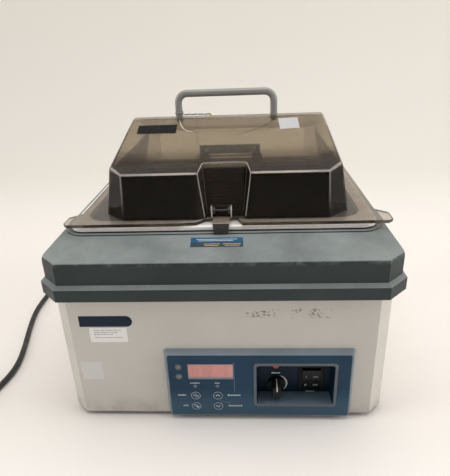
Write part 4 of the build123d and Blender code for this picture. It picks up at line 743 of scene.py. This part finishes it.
def add_plates(name, look, body, sheet, outlines, high, low=0.0):
    """A piece made of raised plates on one sheet."""
    shape = Shape()
    for outline in outlines:
        shape.plate(sheet, outline, high, low)
    return shape.done(name, look, body)


def set_words(name, sheet, words, look, body):
    """Set short words on a sheet: each is a text, its left edge, its baseline and its height."""
    cap_share = 0.7
    lift = 0.0002
    combined = bmesh.new()
    for text, u, v, height in words:
        curve = bpy.data.curves.new(name + "_letters", "FONT")
        curve.body = text
        curve.size = height / cap_share
        curve.resolution_u = 3
        curve.extrude = lift / 2
        mesh = frozen(placed(name + "_letters", curve))
        turn = Matrix((sheet.right, sheet.up, sheet.out)).transposed().to_4x4()
        mesh.transform(Matrix.Translation(sheet.at(u, v, lift / 2)) @ turn)
        combined.from_mesh(mesh)
        bpy.data.curves.remove(curve)
        bpy.data.meshes.remove(mesh)
    bmesh.ops.remove_doubles(combined, verts=combined.verts, dist=0.000002)
    return add_piece(name, kept_mesh(combined, name), look, body)


def instanced(name, points, turns, part, look, body, size=1.0):
    """Repeat a small mesh on points with a node tree, and keep the result as one plain mesh."""
    tree = bpy.data.node_groups.new(name + "_layout", "GeometryNodeTree")
    sockets = {}
    for label, way, kind in (("Geometry", "INPUT", "Geometry"), ("Geometry", "OUTPUT", "Geometry"),
                             ("Part", "INPUT", "Object"), ("Part size", "INPUT", "Float"),
                             ("Finish", "INPUT", "Material")):
        sockets[label] = tree.interface.new_socket(label, in_out=way, socket_type="NodeSocket" + kind)
    entry, leave, info, turned, place, real, finish = [tree.nodes.new(kind) for kind in (
        "NodeGroupInput", "NodeGroupOutput", "GeometryNodeObjectInfo", "GeometryNodeInputNamedAttribute",
        "GeometryNodeInstanceOnPoints", "GeometryNodeRealizeInstances", "GeometryNodeSetMaterial")]
    turned.data_type = "FLOAT_VECTOR"
    turned.inputs["Name"].default_value = "turn"
    for source, output, target, socket in (
            (entry, "Part", info, "Object"), (entry, "Geometry", place, "Points"),
            (info, "Geometry", place, "Instance"), (turned, "Attribute", place, "Rotation"),
            (entry, "Part size", place, "Scale"), (place, "Instances", real, "Geometry"),
            (real, "Geometry", finish, "Geometry"), (entry, "Finish", finish, "Material"),
            (finish, "Geometry", leave, "Geometry")):
        tree.links.new(source.outputs[output], target.inputs[socket])

    base = bpy.data.meshes.new(name + "_points")
    base.from_pydata(list(points), [], [])
    attribute = base.attributes.new("turn", "FLOAT_VECTOR", "POINT")
    for index, turn in enumerate(turns):
        attribute.data[index].vector = turn
    holder, model = placed(name + "_holder", base), placed(name + "_part", part)
    modifier = holder.modifiers.new("Layout", "NODES")
    modifier.node_group = tree
    for label, value in (("Part", model), ("Part size", size), ("Finish", LOOKS[look])):
        modifier[sockets[label].identifier] = value
    holder.update_tag()
    mesh = frozen(holder)
    mesh.name = name
    bpy.data.objects.remove(model)
    return add_piece(name, mesh, look, body)


def cord_points(sizes):
    """The lead's control points: its route over the bench, then the turns of its coil."""
    bench_gap = 0.0003
    level = sizes.cord_diameter / 2 + bench_gap
    route = [Vector(point) for point in (
        (-0.110, GLAND_HIGH.y, 0.030), (-0.110, GLAND_HIGH.y + 0.026, 0.030), (-0.117, 0.255, 0.017))]
    route += [Vector((x, y, level)) for x, y in (
        (-0.142, 0.284), (-0.190, 0.296), (-0.238, 0.275), (-0.270, 0.238), (-0.291, 0.190),
        (-0.303, 0.138), (-0.306, 0.086), (-0.305, 0.038), (-0.294, -0.010), (-0.281, -0.056),
        (-0.273, -0.096), (-0.279, -0.135), (-0.290, -0.168))]
    heading = (route[-1] - route[-2]).normalized()
    side = Vector((heading.y, -heading.x, 0))
    entry = route[-1] + heading * sizes.cord_diameter
    middle = entry + side * sizes.coil_radius
    start = math.atan2(-side.y, -side.x)
    turn_back = sizes.coil_turns / 2
    per_turn = 16
    spread = 8 / (6 + 2 * math.cos(2 * math.pi / per_turn))
    points = list(route)
    for step in range(1, sizes.coil_turns * per_turn):
        turn = step / per_turn
        radius = (sizes.coil_radius - sizes.coil_pitch * (turn_back - abs(turn - turn_back))) * spread
        climb = min(max((turn - turn_back) * 2 + 0.5, 0), 1)
        lift = sizes.coil_pitch * climb * climb * (3 - 2 * climb)
        angle = start - 2 * math.pi * turn
        points.append(middle + Vector((radius * math.cos(angle), radius * math.sin(angle), lift)))
    out = entry + Vector((0, 0, sizes.coil_pitch))
    return points + [out + heading * 0.010, out + heading * 0.032]


class BATH_OT_stage(bpy.types.Operator):
    """Set the camera, the floor, the backdrop and the studio lights"""
    bl_idname = "bath.stage"
    bl_label = "Stage and Camera"

    def execute(self, context):
        scene = context.scene
        camera_data = bpy.data.cameras.new("photo_camera")
        camera_data.lens = scene.bath_sizes.camera_lens
        camera_data.sensor_width = 36.0
        camera_data.clip_start = 0.01
        camera = placed("photo_camera", camera_data)
        right = Vector((0.99840, 0.04382, -0.03585))
        forward = Vector((-0.05457, 0.91326, -0.40369))
        turn = Matrix((right, right.cross(forward), -forward)).transposed()
        camera.matrix_world = Matrix.Translation((0.03030, -0.56188, 0.38852)) @ turn.to_4x4()
        scene.camera = camera
        self.backdrop()
        self.lights()
        self.room(scene)
        scene.view_settings.view_transform = "Standard"
        return {"FINISHED"}

    def backdrop(self):
        """A pale floor that curves up into a wall."""
        bend_start, bend_radius, reach, half_width = 0.75, 0.5, 4.0, 5.0
        mesh = bmesh.new()
        profile = [(-reach, 0.0), (bend_start, 0.0)]
        for step in range(1, 9):
            angle = math.pi / 2 * step / 8
            profile.append((bend_start + bend_radius * math.sin(angle),
                            bend_radius - bend_radius * math.cos(angle)))
        profile.append((bend_start + bend_radius, reach))
        rows = [[mesh.verts.new((x, y, z)) for x in (-half_width, half_width)] for y, z in profile]
        for low, high in zip(rows, rows[1:]):
            mesh.faces.new((low[0], low[1], high[1], high[0])).smooth = True
        data = bpy.data.meshes.new("backdrop")
        mesh.to_mesh(data)
        mesh.free()
        look = Surface("backdrop_paint", (0.86, 0.82, 0.78), 0.9)
        # Painted light and shade: the floor is painted lighter towards the front, and the wall darker than
        # the floor.
        pale = look.blend(look.zone("Y", -0.15, -0.42), (0.93, 0.89, 0.85), (1.0, 0.985, 0.96))
        look.set(Base_Color=look.blend(look.zone("Y", 0.2, 0.9), pale, (0.84, 0.81, 0.76)),
                 Specular_IOR_Level=0.1)
        data.materials.append(look.material)
        placed("backdrop", data)

    def lights(self):
        """Soft light from above and both sides, dimmer from the front."""
        for name, place, target, size, power, colour in (
                ("top_light", (0.1, 0.15, 2.0), (0, 0, 0), (2.6, 2.6), 22.5, (1.0, 0.985, 0.96)),
                ("strip_light", (0.05, -0.25, 1.7), (0, 0, 0.2), (1.4, 0.12), 4.5, (1.0, 0.985, 0.96)),
                ("left_light", (-1.9, -0.35, 0.9), (0, 0, 0.15), (1.5, 1.5), 13.5, (1.0, 0.98, 0.96)),
                ("right_light", (1.9, -0.35, 0.9), (0, 0, 0.15), (1.5, 1.5), 18, (1.0, 0.98, 0.96))):
            data = bpy.data.lights.new(name, "AREA")
            data.shape = "RECTANGLE"
            data.size, data.size_y = size
            data.energy = power
            data.color = colour
            turn = (Vector(target) - Vector(place)).to_track_quat("-Z", "Y").to_matrix().to_4x4()
            placed(name, data).matrix_world = Matrix.Translation(place) @ turn

    def room(self, scene):
        """A dim room that is brighter behind the bath."""
        world = bpy.data.worlds.new("room")
        scene.world = world
        world.use_nodes = True
        tree = world.node_tree
        tree.nodes.clear()
        place, split, front, background, output = [tree.nodes.new("ShaderNode" + kind) for kind in (
            "TexCoord", "SeparateXYZ", "MapRange", "Background", "OutputWorld")]
        front.interpolation_type = "SMOOTHSTEP"
        for name, value in (("From Min", -0.9), ("From Max", 0.3), ("To Min", 0.09), ("To Max", 0.48)):
            front.inputs[name].default_value = value
        background.inputs["Color"].default_value = (1.0, 0.97, 0.93, 1)
        for source, target in ((place.outputs["Generated"], split.inputs[0]),
                               (split.outputs["Y"], front.inputs["Value"]),
                               (front.outputs[0], background.inputs["Strength"]),
                               (background.outputs[0], output.inputs[0])):
            tree.links.new(source, target)


class BATH_OT_cord(bpy.types.Operator):
    """Lay the mains lead on the bench and wind its spare length into a coil"""
    bl_idname = "bath.cord"
    bl_label = "Mains Lead"

    def execute(self, context):
        sizes = context.scene.bath_sizes
        points = cord_points(sizes)
        curve = swept("mains_lead", points, sizes.cord_diameter / 2, 5, 6)
        lead = add_piece("mains_lead", curve, "cord_sheath", "bath")
        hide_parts("power_cord", "cord_coil")
        return {"FINISHED"}


class BATH_OT_finishes(bpy.types.Operator):
    """Give every solid of the bath its material"""
    bl_idname = "bath.finishes"
    bl_label = "Finishes"

    def execute(self, context):
        make_looks(context.scene.bath_colours)
        for look, names in LOOK_NODES.items():
            for name in names.split():
                NODES[name].data.materials.clear()
                NODES[name].data.materials.append(LOOKS[look])
        return {"FINISHED"}


class BATH_OT_panel_print(bpy.types.Operator):
    """Print the panel's rings, bars and lines"""
    bl_idname = "bath.panel_print"
    bl_label = "Panel Print"

    def execute(self, context):
        high = context.scene.bath_sizes.print_height
        letters = []
        dice = random.Random(4)
        for centre, base, width, tall, count in (
                (-30.6, 51.0, 10.5, 1.5, 6), (-6.9, 51.0, 5.6, 1.5, 3), (-45.4, 34.6, 9.0, 1.9, 4),
                (-42.4, 20.0, 5.6, 1.9, 3), (10.6, 34.6, 14.0, 1.9, 8), (11.6, 20.0, 15.0, 1.9, 8)):
            step = width / count
            for index in range(count):
                left = centre - width / 2 + step * index
                head = base + tall / 2 + dice.choice((0.0, 0.0, 0.35))
                letters.append(in_metres(bar(left + 0.08 * step, base - tall / 2, left + 0.80 * step,
                                             head - 0.5, head - 0.2)))
        add_plates("panel_words", "ink_pale", "bath", PANEL, letters, high)
        lines = Shape()
        lines.stroke(PANEL, in_metres([(11.2, 78), (11.2, 39.5)]), 0.0004, high)
        lines.stroke(PANEL, in_metres([(-6, 27.5), (1, 24.5), (7.5, 23.8)]), 0.0004, high)
        for u, v, radius, width in ((-46.9, 71.7, 3.1, 0.6), (-46.9, 59.4, 3.1, 0.6),
                                    (-30.6, 46.6, 1.8, 0.4), (-6.9, 46.6, 1.8, 0.4)):
            lines.ring(PANEL, (u * MM, v * MM), radius * MM, width * MM, high)
        lines.done("panel_lines", "ink_dim", "bath")
        border = Shape()
        low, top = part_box("display_window")
        gap = 0.0003
        outline = rounded((low.x - gap, low.z - gap), (top.x + gap, top.z + gap), 0.0006)
        border.stroke(PANEL, outline, 0.0006, high, closed=True)
        border.done("display_border", "ink_dim", "bath")
        return {"FINISHED"}


class BATH_OT_key_signs(bpy.types.Operator):
    """Print a ring and a sign on each key"""
    bl_idname = "bath.key_signs"
    bl_label = "Key Signs"

    def execute(self, context):
        high = context.scene.bath_sizes.print_height
        frames = {"mode": ((-0.0026, -0.0002, 0.0006, 0.0020), (-0.0002, -0.0020, 0.0028, 0.0002)),
                  "enter": ((-0.0024, 0.0000, 0.0008, 0.0022),)}
        arrows = {"up": 1, "down": -1}
        for key in ("mode", "up", "enter", "down"):
            low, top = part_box(key + "_key")
            face = Sheet(((low.x + top.x) / 2, low.y, (low.z + top.z) / 2))
            shape = Shape()
            shape.ring(face, (0, 0), 0.0048, 0.00038, high)
            for left, base, right, head in frames.get(key, ()):
                shape.stroke(face, rounded((left, base), (right, head), 0.0005), 0.0004, high, closed=True)
            if key in arrows:
                way = arrows[key]
                shape.stroke(face, [(-0.0021, -0.0008 * way), (0, 0.0013 * way), (0.0021, -0.0008 * way)],
                             0.0009, high)
            if key == "enter":
                shape.plate(face, rounded((0.0001, -0.0022), (0.0030, -0.0003), 0.0004), high)
            shape.done(key + "_key_sign", "ink_pale", "key_" + key)
        return {"FINISHED"}


class BATH_OT_display(bpy.types.Operator):
    """Show four faint digits in the display"""
    bl_idname = "bath.display"
    bl_label = "Display Digits"

    def execute(self, context):
        low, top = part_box("display_window")
        face = Sheet(((low.x + top.x) / 2, low.y, (low.z + top.z) / 2))
        segments = {"a": ((0, 1), (1, 1)), "b": ((1, 0), (1, 1)), "c": ((1, -1), (1, 0)),
                    "d": ((0, -1), (1, -1)), "e": ((0, -1), (0, 0)), "f": ((0, 0), (0, 1)),
                    "g": ((0, 0), (1, 0))}
        digits = {"3": "abcdg", "7": "abc", "0": "abcdef", "5": "acdfg"}
        wide, tall, slant, pitch, high = 0.0058, 0.0054, 0.0005, 0.0102, 0.00006
        first_left = -0.0185
        point_after = 2
        shape = Shape()
        for place, digit in enumerate("3705"):
            left = first_left + place * pitch
            for name in digits[digit]:
                start, end = [Vector((left + u * wide + v * slant, v * tall)) for u, v in segments[name]]
                way = (end - start).normalized() * 0.0006
                shape.stroke(face, [start + way, end - way], 0.0010, high)
            if place == point_after:
                shape.plate(face, bar(left + 0.0072, -0.006, left + 0.0082, -0.005), high)
        shape.done("display_digits", "segment_bright", "bath")
        return {"FINISHED"}


class BATH_OT_well_marks(bpy.types.Operator):
    """Print the well's dial marks, the knob's pointer and the switch's signs"""
    bl_idname = "bath.well_marks"
    bl_label = "Well Marks"

    def execute(self, context):
        high = context.scene.bath_sizes.print_height
        low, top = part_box("cutout_knob")
        x, z = (low.x + top.x) / 2, (low.z + top.z) / 2
        letters, half_letter = 5, 0.0008
        well = Shape()
        well.ring(WELL, (x, z), 0.0114, 0.0016, high, -50, 70, taper=True)
        for word_x, word_z, width in ((x - 0.0003, z + 0.0144, 0.0095), (0.0936, 0.0239, 0.010)):
            for letter in range(letters):
                left = word_x - width / 2 + width / letters * letter
                well.plate(WELL, bar(left, word_z - half_letter, left + width * 0.15, word_z + half_letter,
                                     word_z + 0.0007), high)
        well.done("well_print", "ink_white", "bath")
        self.pointer(x, low.y, z, high)
        low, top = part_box("rocker_axle")
        tilt, axle_to_face = math.radians(7), 0.00785
        up = Vector((0, -math.sin(tilt), math.cos(tilt)))
        rocker = Sheet((low + top) / 2 + SIDE_X.cross(up) * axle_to_face, up)
        set_words("rocker_signs", rocker, (("I", -0.0061, 0.0029, 0.0027), ("ON", 0.0021, 0.0031, 0.0022),
                                           ("O", -0.0072, -0.0092, 0.0027), ("OFF", 0.0018, -0.0090, 0.0022)),
                  "ink_pale", "rocker")
        return {"FINISHED"}

    def pointer(self, x, front, z, high):
        """A white line on the knob's grip: down its upper end and on to its face."""
        end, half = 0.0084, 0.00055
        shape = Shape()
        shape.plate(Sheet((x, front, z)), bar(-half, 0.0022, half, end - 0.0007), high)
        corner = Sheet((x, front + 0.00008, z + end - 0.00062), (0, 1, 1))
        shape.plate(corner, bar(-half, 0, half, 0.0008), high + 0.0002, -0.0001)
        slope = math.radians(3)
        top = Sheet((x, front + 0.0006, z + end), (0, math.cos(slope), math.sin(slope)))
        shape.plate(top, bar(-half, 0, half, 0.0128), high, -0.0002)
        shape.done("knob_pointer", "ink_white", "knob")


class BATH_OT_labels(bpy.types.Operator):
    """Stick the plain labels and tapes on the case, the deck and the cover"""
    bl_idname = "bath.labels"
    bl_label = "Labels and Tapes"

    def execute(self, context):
        high = context.scene.bath_sizes.label_height
        ink = high + 0.00004
        band = [(-0.1460, 0.1184), *arc((-0.0973, 0.1248), 0.0064, -90, 90, 12), (-0.1460, 0.1312)]
        add_plates("case_band", "label_navy", "bath", CASE, [band], high)
        paper = rounded((-0.1368, 0.0993), (-0.0977, 0.1168), 0.0012)
        add_plates("case_label", "paper_white", "bath", CASE, [paper], high)
        lines = []
        dice = random.Random(9)
        for row, v in enumerate((0.1137, 0.1112, 0.1087, 0.1046)):
            u = -0.1322
            while u < -0.1030 - 0.005 * (row % 3):
                width = dice.uniform(0.0010, 0.0034)
                lines.append(bar(u, v, u + width, v + 0.0008))
                u += width + 0.0007
        add_plates("case_label_lines", "paper_ink", "bath", CASE, lines, ink, high)
        patch = rounded((-0.1530, 0.0505), (-0.1297, 0.0743), 0.0004)
        add_plates("case_patch", "paper_grey", "bath", CASE, [patch], high)
        for name, look, outline in (
                ("deck_label_foot", "label_grey", ((-29.2, 27.2), (23.2, 26.8), (23.2, 35.2), (-29.4, 35.2))),
                ("deck_label", "label_blue", ((-29.4, 35.2), (23.2, 35.2), (23.0, 44.0), (-30.0, 44.6)))):
            add_plates(name, look, "bath", DECK_SLOPE, [in_metres(outline)], high)
        for name, look, rows in (
                ("deck_label_bars", "label_yellow", ((31.8, -16, 0), (31.8, 3, 21), (29, -15, -1),
                                                     (29, 5, 20))),
                ("deck_label_lines", "ink_pale", ((40.4, -24, 17), (37.7, -22, 13)))):
            bars = [in_metres(bar(left, base, right, base + 1)) for base, left, right in rows]
            add_plates(name, look, "bath", DECK_SLOPE, bars, ink, high)
        for name, look, thick, outline in (
                ("roof_tape", "hook_tape", high * 4,
                 ((-99.3, -18.6), (-53.7, -18.0), (-53.4, -37.2), (-98.7, -36.8))),
                ("roof_sticker", "tape_pale", high,
                 ((65.1, -9.2), (88.0, -7.8), (88.4, -32.6), (66.2, -34.6)))):
            add_plates(name, look, "lid", ROOF, [in_metres(outline)], thick)
        return {"FINISHED"}


class BATH_OT_cover_wear(bpy.types.Operator):
    """Add thin pale and dark lines on the cover's roof, its pale chipped edge, the wire tied to the handle,
    and painted highlight strands along the front recess's bends
    """
    bl_idname = "bath.cover_wear"
    bl_label = "Cover Wear"

    def execute(self, context):
        high = context.scene.bath_sizes.print_height
        # The roof's entries are thin pale and dark arcs that start at the handle's feet, with one short dark
        # line; the flange's entry is its pale cracks.
        for name, look, sheet, cracks in (
                ("roof_cracks_pale", "crack_white", ROOF, (
                    (0.9, ((-52.5, -4), (-51, -12), (-49.3, -18.5), (-45.7, -27.2), (-40.2, -32.7),
                           (-34, -35))),)),
                ("roof_cracks_dark", "crack_dark", ROOF, (
                    (1.0, ((61.5, -4.5), (57.4, -14.5), (51.3, -22.1), (43.4, -29.5), (31.8, -37),
                           (22.3, -42), (11, -44.6))),
                    (0.6, ((-70, -1), (-70.4, -5), (-70, -9.5))))),
                ("flange_cracks", "crack_white", FLANGE, (
                    (1.1, ((-8, 15.7), (-11.2, 14.2), (-16.6, 13.1), (-21.3, 8.6), (-26.2, 3.9),
                           (-37.6, 2.8), (-45, 1.2))),
                    (0.7, ((-16.6, 13.1), (-21.5, 15), (-27.5, 15.2)))))):
            shape = Shape()
            for width, points in cracks:
                shape.stroke(sheet, in_metres(points), width * MM, high, taper=True)
            shape.done(name, look, "lid")
        self.wire()
        self.bends()
        return {"FINISHED"}

    def bends(self):
        """Painted highlights: thin bright strands laid along the rounded bends round the front recess and
        down its inner corners.
        """
        corner = Vector((HANDLE_X + 0.001, COVER_FRONT, FLANGE_TOP))
        outer = ((21.4, 0.1, 3), (27, 3.4, 45.5), (27.2, 5.2, 48.6), (25, 14.5, 51.8), (23.6, 21.5, 54),
                 (20.5, 22.3, 54.7), (0, 22.5, 54.8))
        inner = ((19.3, 9, 3), (21.6, 15.7, 30), (23.2, 20.9, 50))
        for side, end in ((-1, "left"), (1, "right")):
            for name, points, radius, look in (("recess_bend_", outer, 0.00055, "bend_shine"),
                                               ("recess_fold_", inner, 0.0003, "bend_dim")):
                line = [corner + Vector((side * x, y, z)) * MM for x, y, z in points]
                self.strand(name + end, line, radius, look, "cover_plastic")

    def wire(self):
        """Two twisted strands tied round the handle's left leg, with an orange end."""
        loop, wave, twist, slack = 0.0050, 0.0005, 0.9, 0.0003
        for name, look, phase in (("tie_wire", "wire_dark", 0.0), ("tie_wire_pale", "wire_pale", math.pi)):
            dice = random.Random(2)
            points = []
            for step in range(17):
                angle = math.pi * 2 * step / 12
                points.append(Vector((
                    HANDLE_LEG + loop * math.cos(angle), TANK_Y + loop * math.sin(angle),
                    RIDGE + 0.0030 + 0.0002 * step + wave * math.cos(phase + step))))
            for step in range(1, 29):
                turn = phase + step * twist
                points.append(Vector((
                    HANDLE_LEG + 0.004 + 0.00118 * step, TANK_Y - 0.0045 + wave * math.sin(turn),
                    RIDGE + 0.0033 + wave * math.cos(turn) + dice.uniform(-slack, slack))))
            self.strand(name, points, 0.00042, look)
        end = points[-1]
        tip = [end + Vector((x, 0, z)) * MM for x, z in ((0, 0), (0.8, 1), (2.2, -1), (3, -2.8))]
        self.strand("tie_wire_tip", tip, 0.00075, "wire_orange")

    def strand(self, name, points, radius, look, slot="screw_steel"):
        """A short round strand, made a mesh."""
        mesh = frozen(placed(name + "_line", swept(name + "_line", points, radius, 2, 4)))
        for face in mesh.polygons:
            face.use_smooth = True
        return add_piece(name, mesh, look, "lid")


class BATH_OT_fixings(bpy.types.Operator):
    """Set dark cross marks in the screw heads, painted shade for their slots, and ring the strain relief with
    ribs
    """
    bl_idname = "bath.fixings"
    bl_label = "Fixings"

    def execute(self, context):
        cross = Shape()
        arm, half = 0.0019, 0.00038
        cross.plate(Sheet((0, 0, 0), (0, 1, 0)), [
            (half, half), (arm, half), (arm, -half), (half, -half), (half, -arm), (-half, -arm),
            (-half, -half), (-arm, -half), (-arm, half), (-half, half), (-half, arm), (half, arm)],
            0.00012, -0.0003)
        part = kept_mesh(cross.mesh, "cross_part")
        head_radius = 0.0036
        low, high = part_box("bracket_screws")
        left, right = low.x + head_radius, high.x - head_radius
        y = (low.y + high.y) / 2
        self.marks("bracket_screw_marks", "bath", part, {
            (left, y, high.z): (0, 0, 0.4), (right, y, high.z): (0, 0, 1.1)})
        low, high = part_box("leaf_screws")
        left, right = low.x + head_radius, high.x - head_radius
        z = (low.z + high.z) / 2
        self.marks("leaf_screw_marks", "lid", part, {
            (left, high.y, z): (-math.pi / 2, 0.3, 0), (right, high.y, z): (-math.pi / 2, 0.8, 0)})
        low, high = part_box("foot_screws")
        self.marks("foot_screw_marks", "bath", part, {
            (x, y, low.z): (math.pi, 0, 0.5 + x * 3) for x in (low.x + head_radius, high.x - head_radius)
            for y in (low.y + head_radius, high.y - head_radius)})
        self.ribs()
        return {"FINISHED"}

    def marks(self, name, body, part, places):
        """Put a cross at each place, turned by the angles that belong to it."""
        instanced(name, places, places.values(), part.copy(), "slot_shadow", body)

    def ribs(self):
        """Rings along the tapered strain relief."""
        middle = (GLAND_LOW + GLAND_HIGH) / 2
        taper_length, wide, narrow = 0.027, 0.0060, 0.0044
        sides, tube, thick = 24, 6, 0.13
        joined = bmesh.new()
        for rib in range(6):
            y = GLAND_HIGH.y - 0.0245 + rib * 0.0042
            share = (y - (GLAND_HIGH.y - taper_length)) / taper_length
            radius = wide * (1 - share) + narrow * share
            rows = []
            for side in range(sides):
                angle = 2 * math.pi * side / sides
                row = []
                for step in range(tube):
                    turn = 2 * math.pi * step / tube
                    reach = radius * (1.0 + thick * math.cos(turn))
                    row.append(joined.verts.new((middle.x + reach * math.cos(angle),
                                                 y - radius * thick * math.sin(turn),
                                                 middle.z + reach * math.sin(angle))))
                rows.append(row)
            for side in range(sides):
                after = rows[(side + 1) % sides]
                for step in range(tube):
                    up = (step + 1) % tube
                    face = joined.faces.new((rows[side][step], after[step], after[up], rows[side][up]))
                    face.smooth = True
        add_piece("gland_ribs", kept_mesh(joined, "gland_ribs"), "plug_moulding", "bath")


class BATH_PT_panel(bpy.types.Panel):
    bl_idname = "BATH_PT_panel"
    bl_label = "Laboratory Water Bath"
    bl_space_type = "VIEW_3D"
    bl_region_type = "UI"
    bl_category = "Water Bath"

    def draw(self, context):
        layout = self.layout
        column = layout.column(align=True)
        for operator in OPERATORS:
            column.operator(operator.bl_idname)
        for group in (context.scene.bath_sizes, context.scene.bath_colours):
            column = layout.column(align=True)
            for name in group.__annotations__:
                column.prop(group, name)


OPERATORS = (BATH_OT_stage, BATH_OT_finishes, BATH_OT_cord, BATH_OT_panel_print, BATH_OT_key_signs,
             BATH_OT_display, BATH_OT_well_marks, BATH_OT_labels, BATH_OT_cover_wear, BATH_OT_fixings)
CLASSES = (BathSizes, BathColours, *OPERATORS, BATH_PT_panel)


def register():
    for item in CLASSES:
        bpy.utils.register_class(item)
    bpy.types.Scene.bath_sizes = bpy.props.PointerProperty(type=BathSizes)
    bpy.types.Scene.bath_colours = bpy.props.PointerProperty(type=BathColours)


def unregister():
    del bpy.types.Scene.bath_colours
    del bpy.types.Scene.bath_sizes
    for item in reversed(CLASSES):
        bpy.utils.unregister_class(item)


def main():
    register()
    for operator in OPERATORS:
        group, name = operator.bl_idname.split(".")
        getattr(getattr(bpy.ops, group), name)()
    bpy.context.view_layer.update()


if __name__ == "__main__":
    main()
